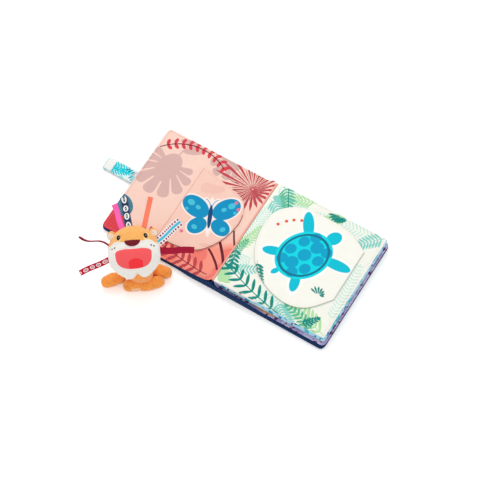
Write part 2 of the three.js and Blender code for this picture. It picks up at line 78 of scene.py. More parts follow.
back = sight(AZIMUTH, ELEVATION)
camera = bpy.data.objects.new("camera", bpy.data.cameras.new("camera"))
bpy.context.collection.objects.link(camera)
camera.location = LOOK_AT + CAMERA_DISTANCE * back
camera.rotation_euler = Vector(back).to_track_quat("Z", "Y").to_euler()
camera.data.sensor_width = SENSOR_WIDTH
camera.data.lens = FOCAL_PIXELS / IMAGE_SIDE * SENSOR_WIDTH
bpy.context.scene.camera = camera
print("lens", round(camera.data.lens, 1), "mm")

# %% [markdown]
# ## From arrays to meshes
#
# Every surface here is a function of two parameters, worked out as whole arrays. A few helpers
# number the points, join neighbours into faces, and store a number for each point, which the
# materials read as a printed pattern.

# %% Mesh helpers
def rows(*parts):
    """Tables of numbers, one for each axis, as a list of points"""
    return np.stack(np.broadcast_arrays(*parts), -1).reshape(-1, len(parts))


def closed(table):
    """A table of rings with its first column repeated at the end"""
    return np.column_stack([table, table[:, :1]])


def numbered(shape, first=0):
    """Whole numbers laid out row by row in a table of one shape"""
    return first + np.arange(np.prod(shape)).reshape(shape)


def quads(index):
    """Faces between the neighbours of a two-way table of point numbers"""
    corners = [index[:-1, :-1], index[1:, :-1], index[1:, 1:], index[:-1, 1:]]
    return np.stack(corners, -1).reshape(-1, 4)


def cap(ring, pole):
    """Triangles from the points of a ring to one point"""
    return np.column_stack([ring[:-1], ring[1:], np.full(len(ring) - 1, pole)])


def give(piece, *materials):
    """Add materials to a piece, in order"""
    for material in materials:
        piece.data.materials.append(material)


def make_piece(name, points, faces, slot, body=None, nodes=(), materials=(), fill=None):
    """Smooth mesh from points in millimetres; it rides on a body if one is given"""
    mesh = bpy.data.meshes.new(name)
    mesh.from_pydata((points * MM).tolist(), [], [face for part in faces for face in part.tolist()])
    mesh.polygons.foreach_set("use_smooth", np.ones(len(mesh.polygons), bool))
    mesh.update()
    piece = bpy.data.objects.new(name, mesh)
    bpy.context.collection.objects.link(piece)
    if body:
        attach(piece, body)
    if nodes:
        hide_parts(*nodes)
    give(piece, *materials)
    return piece


def paint(piece, name, values):
    """Store one number for each point"""
    layer = piece.data.attributes.new(name, "FLOAT", "POINT")
    layer.data.foreach_set("value", np.ascontiguousarray(values, np.float32).ravel())


def paint_under(piece, first):
    """Give the second material to the faces from a number on, which look down"""
    under = np.arange(len(piece.data.polygons)) >= first
    piece.data.polygons.foreach_set("material_index", under.astype(np.int32))


def smooth_step(value):
    """0 below 0, 1 above 1, and 3t^2 - 2t^3 between"""
    t = np.clip(value, 0, 1)
    return t * t * (3 - 2 * t)


def rise(distance, width):
    """Quarter of a circle: 0 at the rim, 1 from one width inwards"""
    return np.sqrt(1 - (1 - np.clip(distance / width, 0, 1)) ** 2)


def bump(offset, width):
    """Bell curve: 1 at no offset, and almost nothing beyond twice the width"""
    return np.exp(-(offset / width) ** 2)


def between(low, high, share):
    """Low value at share 0, high value at share 1, and a straight line between"""
    return low + (high - low) * share


def waves(x, y, length, seed, count=7):
    """Soft relief between about -1 and 1: plane waves of like length, in seeded directions"""
    rng = np.random.default_rng(seed)
    total = np.zeros(np.shape(x))
    for angle, phase, stretch in rng.uniform((0, 0, 0.7), (np.pi, 2 * np.pi, 1.5), (count, 3)):
        run = x * np.cos(angle) + y * np.sin(angle)
        total += np.sin(2 * np.pi * run / (length * stretch) + phase)
    return total / np.sqrt(2 * count)


print("a table of 3 by 4 points gives", len(quads(numbered((3, 4)))), "faces")

# %% [markdown]
# ## Cloth materials
#
# The pages are printed cotton, the covers a plain navy weave, the ribbons satin and the toy short
# plush. Up close all of them show threads or pile, and from further off only softness. So each
# material has a fine relief, a slight unevenness of colour with painted shade in the dips of that
# relief, and a little sheen.
#
# A print is a stack of flat colours. Where a colour lies is stored on the mesh as a distance: below
# zero inside the shape and above it outside. The material turns it into a crisp edge, so the
# print stays sharp however close the camera comes. A picture wrapped on the mesh would blur there.

# %% Shader helpers
def linear(colour):
    """Display colour from 0 to 255, as the linear numbers that a shader takes"""
    share = np.array(colour) / 255
    return (*np.where(share < 0.04045, share / 12.92, ((share + 0.055) / 1.055) ** 2.4), 1.0)


def add_node(tree, kind, inputs=None, **settings):
    """Shader node of one kind, whose inputs are numbers or outputs of other nodes"""
    node = tree.nodes.new("ShaderNode" + kind)
    for key, value in settings.items():
        setattr(node, key, value)
    for key, value in (inputs or {}).items():
        if isinstance(value, bpy.types.NodeSocket):
            tree.links.new(value, node.inputs[key])
        else:
            node.inputs[key].default_value = value
    return node


def start_material(name, roughness, sheen, specular=0.25):
    """Material whose shader has one roughness, one sheen and one strength of highlights"""
    material = bpy.data.materials.new(name)
    material.use_nodes = True
    shader = material.node_tree.nodes["Principled BSDF"]
    for socket, value in (("Roughness", roughness), ("Sheen Weight", sheen), ("Sheen Roughness", 0.4),
                          ("Specular IOR Level", specular)):
        shader.inputs[socket].default_value = value
    return material, material.node_tree, shader


def surface_place(tree, grain=None):
    """Object coordinates, or the two attributes that follow a strip of cloth, in millimetres"""
    if not grain:
        return add_node(tree, "TexCoord").outputs["Object"]
    across, along = (add_node(tree, "Attribute", attribute_name=word).outputs["Fac"] for word in grain)
    joined = add_node(tree, "CombineXYZ", {0: across, 1: along})
    return add_node(tree, "VectorMath", {0: joined.outputs[0], 3: MM}, operation="SCALE").outputs[0]


def noise(tree, place, size, detail=2.0):
    """Noise with grains of about one size, in millimetres"""
    inputs = {"Vector": place, "Scale": 1 / (size * MM), "Detail": detail}
    return add_node(tree, "TexNoise", inputs).outputs[0]


def printed_colour(tree, base, layers):
    """The base colour, with each layer laid over it where its stored distance is below zero"""
    colour = add_node(tree, "RGB").outputs[0]
    colour.default_value = linear(base)
    for attribute, tint, softness in layers:
        distance = add_node(tree, "Attribute", attribute_name=attribute).outputs["Fac"]
        inputs = {0: distance, 1: -1 / softness, 2: 0.5}
        inside = add_node(tree, "Math", inputs, operation="MULTIPLY_ADD", use_clamp=True).outputs[0]
        mix = add_node(tree, "Mix", {0: inside, 6: colour, 7: linear(tint)}, data_type="RGBA")
        colour = mix.outputs[2]
    return colour


def vary(tree, colour, factors, amount):
    """Brightness that goes up and down by an amount with the mean of some noises"""
    total = factors[0]
    for factor in factors[1:]:
        total = add_node(tree, "Math", {0: total, 1: factor}, operation="ADD").outputs[0]
    count = len(factors)
    inputs = {0: total, 1: 0.2 * count, 2: 0.8 * count, 3: 1 - amount, 4: 1 + amount}
    ranged = add_node(tree, "MapRange", inputs).outputs[0]
    return add_node(tree, "HueSaturation", {"Value": ranged, "Color": colour}).outputs[0]


def relief(tree, height, distance, normal=None):
    """Normals tilted as if the surface rose by a height from 0 to 1, times some millimetres"""
    inputs = {"Height": height, "Distance": distance * MM}
    return add_node(tree, "Bump", inputs | ({"Normal": normal} if normal else {})).outputs[0]


def finish(material, tree, shader, colour, normal):
    """Join the colour and the normals to the shader"""
    tree.links.new(colour, shader.inputs["Base Color"])
    tree.links.new(normal, shader.inputs["Normal"])
    return material


print("mid grey gives back", round(float(linear((128, 128, 128))[0]), 3), "of the light")

# %% Cloth, plush, prints and thread
PRINT_SOFTNESS, UNPAINTED = 0.35, 99.0
WAVE_RATE = 20  # radians in a metre of a wave texture whose scale is one


def cloth(name, base, layers=(), thread=0.6, thread_depth=0.05, crease=0.35, roughness=0.85, sheen=0.15,
          tone_and_shade=0.05, grain=None):
    """Woven cloth: waves of threads both ways, multiplied, with soft creases, a print and painted shade
    between the threads
    """
    material, tree, shader = start_material(name, roughness, sheen)
    place = surface_place(tree, grain)
    inputs = {"Vector": place, "Scale": 2 * np.pi / (WAVE_RATE * thread * MM), "Distortion": 0.4}
    warp, weft = (add_node(tree, "TexWave", inputs, bands_direction=way).outputs[1] for way in "XY")
    weave = add_node(tree, "Math", {0: warp, 1: weft}, operation="MULTIPLY").outputs[0]
    colour = printed_colour(tree, base, layers)
    # Colour varies at random with two noises, and with the weave: painted shade in the dips between the
    # threads.
    colour = vary(tree, colour, [noise(tree, place, 14), noise(tree, place, 2.2), weave], tone_and_shade)
    creases = relief(tree, noise(tree, place, 16, 3.0), crease)
    return finish(material, tree, shader, colour, relief(tree, weave, thread_depth, creases))


def plush(name, base, layers=(), pile=1.3, depth=0.9, tone_and_shade=0.2):
    """Short pile: clumps of fibres, with random tone and painted shade between them, and a soft bright edge
    """
    material, tree, shader = start_material(name, 1.0, 0.55, 0.1)
    place = surface_place(tree)
    clumps, fibres = noise(tree, place, 2.6 * pile, 3.0), noise(tree, place, 0.5 * pile, 2.0)
    # Colour follows the clumps and fibres that also make the relief: random tone, and painted shade between
    # the clumps.
    colour = vary(tree, printed_colour(tree, base, layers), [clumps, fibres], tone_and_shade)
    pile_relief = relief(tree, fibres, depth / 2, relief(tree, clumps, depth))
    return finish(material, tree, shader, colour, pile_relief)


def print_on(piece, name, index, base, motifs, **look):
    """Cloth with a print: each motif is a colour, the distance to its shape, and how soft its edge is"""
    layers = []
    for number, (tint, distance, *softness) in enumerate(motifs):
        values = np.full(len(piece.data.vertices), UNPAINTED)
        values[index.ravel()] = distance
        paint(piece, f"{name}_{number}", values)
        layers.append((f"{name}_{number}", tint, *(softness or [PRINT_SOFTNESS])))
    return cloth(name, base, layers, **look)


def thread_material(name, tint):
    """Fine cloth without creases, for stitches"""
    return cloth(name, tint, thread=0.35, thread_depth=0.03, crease=0.0, roughness=0.6)


print("a printed edge is", PRINT_SOFTNESS, "mm soft")

# %% [markdown]
# ## Shapes for the prints
#
# The printed jungle is drawn with a few leaf shapes: a pointed blade, a frond with blades on both
# sides of its stem, a fan of blades from one point, and a broad leaf with deep cuts. Each is a
# formula that gives, for every point of the page, the distance to its edge.

# %% Distances to simple shapes
FAR = 1e3


def heading(angle):
    """Direction at an angle: its cosine across and its sine up"""
    return np.stack([np.cos(angle), np.sin(angle)], -1)


def turned(p, centre, degrees):
    """Points in a frame of their own, with its middle at the centre and its first axis turned"""
    angle = np.radians(degrees)
    return (p - np.asarray(centre)) @ np.stack([heading(angle), heading(angle + np.pi / 2)], 1)


def any_of(*distances):
    """Distance to shapes laid together: the smallest of theirs"""
    return np.minimum.reduce(distances)


def all_of(*distances):
    """Distance to what shapes have in common: the largest of theirs"""
    return np.maximum.reduce(distances)


def oval(p, centre, half_x, half_y, angle=0.0):
    """Ellipse: its own unit distance, brought back to millimetres by the shorter half"""
    along, across = turned(p, centre, angle).T
    return (np.hypot(along / half_x, across / half_y) - 1) * min(half_x, half_y)


def ovals(p, half_x, half_y, places):
    """Ovals of one size at several places"""
    return any_of(*(oval(p, place, half_x, half_y) for place in places))


def blades(p, starts, ends, widths):
    """Pointed leaves: distance across the midrib, less a half width that swells between both ends"""
    best = FAR
    for start, end, width in zip(np.asarray(starts), np.asarray(ends), np.broadcast_to(widths, len(starts))):
        along = end - start
        length = np.hypot(*along)
        share = (p - start) @ along / length ** 2
        across = np.abs((p - start) @ np.array([-along[1], along[0]])) / length
        swell = width / 2 * np.clip(4 * share * (1 - share), 0, 1) ** 0.6
        best = np.minimum(best, all_of(across - swell, -share * length, (share - 1) * length))
    return best


def line_distance(p, points):
    """How far each point lies from the nearest stretch of a line"""
    best = FAR
    for start, end in zip(points[:-1], points[1:]):
        along = end - start
        share = np.clip((p - start) @ along / (along @ along), 0, 1)
        best = np.minimum(best, np.hypot(*(p - start - share[:, None] * along).T))
    return best


print("the middle of an oval lies", oval(np.zeros((1, 2)), (0, 0), 3, 2)[0], "mm from its rim")

# %% Fronds, fans and broad leaves
def curve(base, angle, length, bend, count):
    """Points along a line that turns evenly by one angle, and its direction at each"""
    turning = np.radians(angle + bend * np.linspace(0, 1, count))
    steps = heading(turning) * length / (count - 1)
    return np.asarray(base) + np.concatenate([[[0, 0]], np.cumsum(steps[:-1], 0)]), turning


def stalk(p, base, angle, length, bend, width, count=12):
    """Line of even width along a curve: the distance to the curve, less half the width"""
    return line_distance(p, curve(base, angle, length, bend, count)[0]) - width / 2


def frond(p, base, angle, length, bend, blade, width, pairs, spread=50, stem=1.0, fullness=1.25):
    """Stem with leaves in pairs, longest in its lower half"""
    points, turning = curve(base, angle, length, bend, pairs + 2)
    share = np.linspace(0, 1, pairs + 2)[1:]
    size = blade * np.sqrt(np.clip(fullness - share, 0.1, 1))
    tips = [points[1:] + heading(turning[1:] + np.radians(side * spread)) * size[:, None] for side in (-1, 1)]
    tips.append(points[-1:] + heading(turning[-1:]) * blade * 0.6)
    starts = np.concatenate([points[1:], points[1:], points[-1:]])
    return any_of(blades(p, starts, np.concatenate(tips), width), line_distance(p, points) - stem / 2)


def fronds(p, *plants):
    """Several fronds laid together"""
    return any_of(*(frond(p, *plant) for plant in plants))


def fan(p, centre, first, last, count, inner, outer, width):
    """Leaves that spread from one point: each widens outwards, and comes to a point at its end

    The longest point up and to the left, and the others are shorter by the cosine of their angle.
    """
    best = FAR
    for angle in np.linspace(first, last, count):
        along, across = turned(p, centre, angle).T
        reach = outer * (0.76 + 0.24 * np.cos(np.radians(angle) - 2.7))
        share = (along - inner) / (reach - inner)
        half = width / 2 * np.clip(np.minimum(0.1 + share / 0.7, (1 - share) / 0.3), 0, 1)
        best = np.minimum(best, all_of(np.abs(across) - half, inner - along, along - reach))
    return best


def cut_leaf(p, base, angle, size, lobes):
    """Broad leaf with deep cuts: blunt fingers round the end of a stem, joined round its middle

    A finger is as wide as a share of the way out, and has a round end.
    """
    axis = heading(np.radians(angle))
    spread = 0.82 * np.tan(np.radians(105 / (lobes - 1)))
    parts = [oval(p, base + axis * size * 0.1, size * 0.46, size * 0.3, angle),
             line_distance(p, np.array([base - axis * size * 0.75, base])) - size * 0.0175]
    for turn in np.linspace(-105, 105, lobes):
        length = size * (0.7 + 0.3 * np.cos(np.radians(turn)))
        along, across = turned(p, base, angle + turn).T
        end = np.sqrt(1 - np.clip((along / length - 0.82) / 0.18, 0, 1) ** 2)
        half = spread * np.clip(along, 0, length) * end
        parts.append(all_of(np.abs(across) - half, -along, along - length))
    return any_of(*parts)


def speckle(p, length, seed, level):
    """Blotches where a soft relief is higher than a level"""
    return (level - waves(p[:, 0], p[:, 1], length, seed, 9)) * length * 0.3


print("a stalk that turns by 40 degrees ends at", curve((0, 0), 70, 50, 40, 12)[0][-1].round(1))

# %% [markdown]
# ## A padded panel
#
# Covers, pages and leaves are all padded panels: two layers sewn together round the rim, fuller
# in the middle and drawn in where they are stitched. The panel is a grid over a rectangle with
# rounded corners. Its lines lie closer near the rim, where the surface turns down to the seam. A
# box with rounded edges would be quicker, but it has no points to sink a row of stitches into.

# %% Panel grid
NEAR_RIM = np.array([0, 0.12, 0.35, 0.75, 1.3, 2.0, 2.8])


def grid_lines(low, high, step):
    """Places from low to high, an even step apart but closer near both ends"""
    inner_low, inner_high = low + NEAR_RIM[-1], high - NEAR_RIM[-1]
    inner = np.linspace(inner_low, inner_high, int((inner_high - inner_low) / step) + 2)
    return np.concatenate([low + NEAR_RIM[:-1], inner, high - NEAR_RIM[-2::-1]])


def panel_plan(x0, x1, y0, y1, radius, step_x, step_y=None):
    """Points over a rounded rectangle, and how far each lies from the rim across and along

    The radius may be two numbers: for the corners of low x and for those of high x. A corner's
    square is pressed into a quarter of a disc: a share u of the radius becomes u times the root
    of 1 - v^2 / 2, with v the share the other way. Two more tables say which points lie in the
    half away from the spine, and how far each lies from the rim's three free sides.
    """
    across, along = np.meshgrid(
        grid_lines(x0, x1, step_x), grid_lines(y0, y1, step_y or step_x), indexing="ij"
    )
    radius = np.where(across < (x0 + x1) / 2, *np.broadcast_to(radius, 2))
    offsets, rims, corners = [], [], []
    for place, low, high in ((across, x0, x1), (along, y0, y1)):
        offset = place - (low + high) / 2
        rim = (high - low) / 2 - np.abs(offset)
        offsets.append(offset)
        rims.append(rim)
        corners.append(np.clip(1 - rim / radius, 0, 1))
    u, v = corners
    x = across - np.sign(offsets[0]) * radius * (u - u * np.sqrt(1 - v * v / 2))
    y = along - np.sign(offsets[1]) * radius * (v - v * np.sqrt(1 - u * u / 2))
    outer = np.abs(x) > (abs(x0) + abs(x1)) / 2
    return x, y, *rims, outer, np.where(outer, np.minimum(*rims), rims[1])


def make_panel(name, x, y, top, bottom, slot, **more):
    """Closed panel: a top grid and a bottom grid that share their rim. Returns both tables of numbers"""
    inside = np.s_[1:-1, 1:-1]
    upper = numbered(x.shape)
    lower = upper.copy()
    lower[inside] = numbered(x[inside].shape, x.size)
    points = np.concatenate([rows(x, y, top), rows(x[inside], y[inside], bottom[inside])])
    faces = [quads(upper), quads(lower)[:, ::-1]]
    piece = make_piece(name, points, faces, slot, **more)
    paint_under(piece, len(faces[0]))
    return piece, upper, lower


print("a grid over 180 mm in steps of 2 mm has", grid_lines(0, 180, 2).size, "lines")

# %% Dents along seams
PUCKER_REACH = 6


def stitch_dip(distance, line, depth, width):
    """Groove along a row of stitches at one distance from the rim"""
    return depth * bump(distance - line, width)


def puckers(distance, run, line, depth, seed, pitch):
    """Small folds that cross a seam and fade away from it"""
    fade = np.exp(-(np.maximum(distance - line, 0) / PUCKER_REACH) ** 1.5)
    return depth * fade * waves(run, 0 * run, pitch, seed, 5)


def sewn_dent(distance, run, line, depth, pucker, seed, pitch=7.0, width=1.1):
    """The groove and the small folds of one seam together"""
    folds = np.abs(puckers(distance, run, line, pucker, seed, pitch))
    return stitch_dip(distance, line, depth, width) + folds


print("a seam's folds fade over about", PUCKER_REACH, "mm")

# %% [markdown]
# ## Stitches
#
# A row of stitches is what tells sewn cloth from a moulded sheet. Each stitch is a small spindle:
# a ring of six points carried along a short line, closed to a point at both ends.

# %% Stitch rows
SPINDLE_SIDES = 6
SPINDLE_RINGS = ((-0.28, 0.9), (0, 1.0), (0.28, 0.9))


def travelled(points):
    """How far along a line each of its points lies"""
    return np.concatenate([[0], np.cumsum(np.linalg.norm(np.diff(points, axis=0), axis=1))])


def resample(points, pitch=None, count=None):
    """Points along a line: at an even pitch, from half a pitch on, or a number of them from its start"""
    run = travelled(points)
    places = np.arange(pitch / 2, run[-1], pitch) if pitch else np.linspace(0, run[-1], count, endpoint=False)
    return np.stack([np.interp(places, run, column) for column in points.T], 1)


def stitch_row(name, lines, material, slot, body, length=2.5, pitch=3.6, radius=0.26):
    """Spindles along lines: rings of points round each stitch, closed at both its ends"""
    centres = [resample(line, pitch) for line in lines]
    along = np.concatenate([np.gradient(centre, axis=0) for centre in centres])
    centre = np.concatenate(centres)
    along /= np.linalg.norm(along, axis=1, keepdims=True)
    across = np.cross([0, 0, 1.0], along)
    across /= np.linalg.norm(across, axis=1, keepdims=True)
    up = np.cross(along, across)
    angle = np.arange(SPINDLE_SIDES)[:, None] / SPINDLE_SIDES * 2 * np.pi
    ring = radius * (across[:, None] * np.cos(angle) + up[:, None] * np.sin(angle))
    rings = [
        centre[:, None] + along[:, None] * share * length + ring * swell for share, swell in SPINDLE_RINGS
    ]
    ends = np.stack([centre - along * length / 2, centre + along * length / 2], 1)
    points = np.concatenate([*rings, ends], 1)
    index = closed(numbered((len(rings), SPINDLE_SIDES)))
    poles = index.max() + np.array([1, 2])
    starts = np.arange(len(centre))[:, None, None] * points.shape[1]
    triangles = np.concatenate([cap(index[0][::-1], poles[0]), cap(index[-1], poles[1])])
    faces = [(starts + quads(index)[:, ::-1]).reshape(-1, 4), (starts + triangles).reshape(-1, 3)]
    make_piece(name, points.reshape(-1, 3), faces, slot, body, materials=[material])


def rim_path(x0, x1, y0, y1, inset, height, open_side=None):
    """Rectangle one inset inside a panel, as a line; it can leave out its gutter side"""
    a, b, c, d = x0 + inset, x1 - inset, y0 + inset, y1 - inset
    corners = {"left": [(a, d), (b, d), (b, c), (a, c)], "right": [(b, c), (a, c), (a, d), (b, d)],
               None: [(a, c), (b, c), (b, d), (a, d), (a, c)]}[open_side]
    flat = np.concatenate([np.linspace(p, q, 40) for p, q in zip(corners[:-1], corners[1:])])
    return rows(*flat.T, height(*flat.T))


print("100 mm of topstitching take", len(resample(np.array([[0, 0, 0], [100, 0, 0]]), 3.6)), "stitches")

# %% [markdown]
# ## Covers
#
# The two covers are navy cloth bags with wadding inside. Their edge is a soft roll, and near the
# spine the roll swells up, because the cloth there has the whole stack of pages to go round. A
# cloth simulation could blow up such a bag, but its rim would be hard to bring to one outline. So
# the height is added up from a roll at the rim, a swell and some wrinkles, each a formula.

# %% Covers
COVER_EDGE, COVER_HALF_DEPTH, COVER_START = 183.0, 93.0, 10.0
COVER_RIM, COVER_TOP = 3.4, 7.3
PAGE_EDGE, PAGE_FAR, PAGE_NEAR = 182.4, 92.5, -91.3
NEAR_SLACK, BACK_SKEW, NEAR_SWELL = 1.8, 2.6, 8.6
SLACK_START, SLACK_REACH = 76, 15
NEAR_ROLL, EDGE_ROLL, UNDER_ROLL = 2.2, 4.0, 1.6
COVER_FILL, LINING_FILL, LEAF_FILL, FLAP_FILL = 0.5, 0.2, 0.35, 0.3

navy = cloth("navy_weave", (4, 46, 94), thread=0.7, thread_depth=0.09, crease=0.3, tone_and_shade=0.14, sheen=0.0)


def near_slack(x):
    """How far the near edge of the cloth stands out

    It is nothing up to 62 mm left of the spine, most from 32 mm on, and still grows to the right.
    """
    return np.where(x < 0, NEAR_SLACK * smooth_step((x + 62) / 30), NEAR_SLACK + BACK_SKEW * x / COVER_EDGE)


def lining_near(x):
    """Near edge of the lining, which takes up about half of the cover's slack"""
    return PAGE_NEAR - 0.55 * np.where(x < 0, 0, near_slack(x))


def near_swell(x):
    """Height that the near rim gains, where the cloth goes up round the stack of pages

    It is greatest at the spine and over the first 30 mm of the back cover, and fades from there.
    """
    return NEAR_SWELL * np.where(x < 0, bump(x, 38), bump(np.maximum(x - 30, 0), 52))


def near_share(y):
    """0 over most of the depth, rising to 1 at the near edge"""
    return smooth_step((-y - SLACK_START) / SLACK_REACH)


def slacken(x, y):
    """Move points near the near edge outwards by the slack"""
    return y - near_slack(x) * near_share(y)


def outside_pages(x, y):
    """0 over the pages, 1 beyond their near edge"""
    return smooth_step((lining_near(x) + 0.1 - y) / 1.1)


def make_cover(name, side):
    """Padded bag: its near rim swells round the stack, and its top sinks where the lining lies on it"""
    ends = sorted((side * COVER_START, side * COVER_EDGE))
    x, y, from_x, from_y, outer, rim_distance = panel_plan(
        *ends, -COVER_HALF_DEPTH, COVER_HALF_DEPTH, (8.0, 0.6)[::-side], 2.2, 2.0
    )
    near = y < 0
    y = slacken(x, y)
    full = rise(from_x, np.where(outer, EDGE_ROLL, 0.3)) * rise(from_y, np.where(near, NEAR_ROLL, EDGE_ROLL))
    wrinkle = puckers(rim_distance, x + y, 1, 0.2, 11, 16)
    top = COVER_RIM + (COVER_TOP - COVER_RIM + near_swell(x) * outside_pages(x, y) + wrinkle) * full
    top -= 1.2 * smooth_step((rim_distance - 2.4) / 1.8)
    bottom = COVER_RIM * (1 - rise(from_x, np.where(outer, 3.0, 0.6)) * rise(from_y, UNDER_ROLL))
    make_panel(name + "_pad", x, y, top, bottom, "navy_cloth", body=name, materials=[navy, navy],
               nodes=[name + "_cloth", name + "_wadding"], fill=COVER_FILL)
    print(name, "is", round(float(top.max()), 1), "mm thick at the spine's near end")


make_cover("front_cover", -1)
make_cover("back_cover", 1)

# %% [markdown]
# ## Spine
#
# Between the covers the navy cloth goes on round a soft roll. When the book closes, the real spine
# bends into a half round.

# %% Spine roll and seam
SPINE_HALF_WIDTH, SPINE_TOP, SPINE_SIDE = 9.9, 16.0, 4.0
SEAM_HEIGHT, SEAM_RADIUS, SEAM_HALF_LENGTH, SEAM_SIDES = 18.75, 1.4, 90.0, 16
FAR_CLIMB = 1.2

x, y, from_x, from_y, *_ = panel_plan(
    -SPINE_HALF_WIDTH, SPINE_HALF_WIDTH, -COVER_HALF_DEPTH, COVER_HALF_DEPTH, 0.6, 1.1, 2.0
)
near = y < 0
y = slacken(x, y)
share = np.abs(x) / SPINE_HALF_WIDTH
under_pages = between(SPINE_SIDE, SPINE_TOP, (1 - share) ** 1.25)
at_ends = np.where(near, COVER_TOP + NEAR_SWELL, COVER_TOP + 4.0 + 3.0 * (1 - share ** 2))
beyond_pages = np.where(near, outside_pages(x, y), smooth_step(1 + (y - PAGE_FAR) / FAR_CLIMB))
crest = between(under_pages, at_ends, beyond_pages)
top = between(COVER_RIM, crest, rise(from_x, 0.3) * rise(from_y, np.where(near, NEAR_ROLL, 3.6)))
bottom = COVER_RIM * (1 - rise(from_x, 0.3) * rise(from_y, UNDER_ROLL))
spine, *_ = make_panel("spine_pad", x, y, top, bottom, "navy_cloth", nodes=["spine_roll"],
                       materials=[navy, navy], fill=COVER_FILL)
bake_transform(spine)

angle = np.linspace(0, 2 * np.pi, SEAM_SIDES, endpoint=False)
run = np.linspace(-SEAM_HALF_LENGTH, SEAM_HALF_LENGTH, 121)
radius = SEAM_RADIUS * rise(SEAM_HALF_LENGTH - np.abs(run), 1.2) + 0.08 * waves(run, 0 * run, 9, 4)
radius = np.maximum(radius, 0.02)[:, None]
points = rows(radius * np.cos(angle), run[:, None], SEAM_HEIGHT + radius * np.sin(angle))
index = numbered((run.size, SEAM_SIDES))
faces = [quads(closed(index))[:, ::-1], index[:1, ::-1], index[-1:]]
make_piece("seam_binding", points, faces, "cream_print", "back_cover", ["spine_seam"],
           [cloth("seam_tape", (250, 178, 158), thread=0.5)])
print("spine and seam made")

# %% [markdown]
# ## The coral page
#
# The left page is the front cover's printed lining. It lies on the cover and climbs to the seam in
# the gutter. Its print goes from pale pink at the far side to coral at the near side, with a red
# vine, a burgundy fan of palm leaves, and dark ferns. Page and gutter could be two pieces, but as
# one sheet whose height changes along the way they show no join.

# %% Lining
LEFT_CLIMB, RIGHT_CLIMB, GUTTER_TOP, GUTTER_END = 19.0, 14.2, 17.95, 1.5
LINING_TOP, PAGE_STITCH, PAGE_ROLL = 8.0, 3.2, 1.3


def page_height(x, reach):
    """Lining height: level, then a smooth climb to the seam"""
    return between(LINING_TOP, GUTTER_TOP, smooth_step((reach - np.abs(x)) / (reach - GUTTER_END)))


def make_lining(word, side, reach, slot):
    """Thin sheet that climbs to the seam, dented along its stitches and thinned at its rim"""
    ends = sorted((side * GUTTER_END, side * PAGE_EDGE))
    x, y, from_x, from_y, _, rim_distance = panel_plan(*ends, PAGE_NEAR, PAGE_FAR, 6.5, 1.0)
    y = y + (lining_near(x) - PAGE_NEAR) * near_share(y)
    thickness = 0.6 + 0.7 * smooth_step((np.abs(x) - 6) / 10)
    surface = page_height(x, reach) + 0.12 * waves(x, y, 60, 3)
    surface -= sewn_dent(rim_distance, x + y, PAGE_STITCH, 0.45, 0.4, 5)
    full = rise(from_x, PAGE_ROLL) * rise(from_y, PAGE_ROLL)
    top = surface - thickness * 0.5 * (1 - full)
    bottom = surface - thickness * (0.5 + 0.5 * full)
    nodes = [f"{word}_cover_lining", f"{word}_gutter_cloth"]
    piece, upper, _ = make_panel(
        f"{word}_page", x, y, top, bottom, slot, body=f"{word}_cover", nodes=nodes,
        fill=LINING_FILL,
    )
    return piece, rows(x, y), upper


print("the lining climbs", round(GUTTER_TOP - LINING_TOP, 2), "mm in the gutter")

# %% Coral print
CORAL, PINK, MAUVE = (255, 156, 137), (251, 214, 199), (219, 180, 174)
RED, CRIMSON, MAROON, TEAL = (222, 66, 78), (178, 34, 58), (104, 24, 44), (70, 128, 150)

front_page, p, upper = make_lining("front", -1, LEFT_CLIMB, "coral_print")
soft_edge = 4 * waves(p[:, 0], p[:, 1], 60, 8)
coral_area = p[:, 1] + 52 - 0.4 * (p[:, 0] + 60) + soft_edge
near_vine, far_vine = ((-14, -82), 178, 104, -12), ((-178, 60), 48, 108, -84)
fan_centre = np.array([-28, 68])
motifs = [
    ((254, 190, 170), coral_area - 14, 30.0),
    (MAUVE, any_of(
        cut_leaf(p, (-150, 42), 262, 56, 9),
        cut_leaf(p, (-72, 88), 200, 34, 7),
        blades(p, [(-116, 88), (-128, 90)], [(-146, 70), (-158, 84)], [13, 9]),
    )),
    (CORAL, coral_area, 9.0),
    ((246, 128, 116), all_of(coral_area + 6, speckle(p, 26, 21, 0.3)), 2.5),
    (RED, any_of(frond(p, *far_vine, 10, 5.2, 9, 60, 0.9, 2.0), oval(p, (-180, -84), 32, 30, 20))),
    (TEAL, oval(p, (-176, -48), 20, 15, -30)),
    ((196, 70, 80), any_of(
        frond(p, *near_vine, 17, 5.0, 9, 60, 1.2, 1.6), fan(p, fan_centre, 0, 343, 22, 1, 68, 4.0),
    )),
    (CRIMSON, fan(p, fan_centre, 8, 351, 22, 1, 40, 1.3)),
    (MAROON, any_of(
        stalk(p, (-32, -46), 330, 38, -26, 3.2),
        stalk(p, (-27, -26), 314, 46, -14, 4.0),
        stalk(p, (-16, -4), 300, 44, 8, 2.6),
        stalk(p, *near_vine, 1.3),
        frond(p, (-128, -88), 30, 44, 10, 12, 2.6, 7, 55),
        stalk(p, *far_vine, 1.5, 16),
        fan(p, fan_centre, 95, 335, 9, 4, 52, 1.1),
    )),
]
give(front_page, print_on(front_page, "coral", upper, PINK, motifs), cloth("lining_back", (240, 226, 214)))
print("front page:", len(front_page.data.polygons), "faces")

# %% [markdown]
# ## The lilac page
#
# The back cover has a lilac lining with mauve and plum blotches. Most of it lies under the
# leaves, so only its rim shows until they are turned. A cream patch with a tan binding is sewn
# on it. The patch is worked out in rings, from its middle to its rim, because rings follow a
# round outline and a square grid would cut it into steps.

# %% Rings inside an outline
def ring_plan(outline, first, last, count, near_rim):
    """Rings of points from the middle of an outline to its rim, and about how far they lie from it"""
    middle = outline.mean(0)
    rings = np.concatenate([np.linspace(first, last, count), 1 - np.array([*near_rim, 0])])[:, None]
    x, y = (middle[axis] + rings * (outline[:, axis] - middle[axis]) for axis in (0, 1))
    return x, y, (1 - rings) * np.hypot(*(outline - middle).T), middle


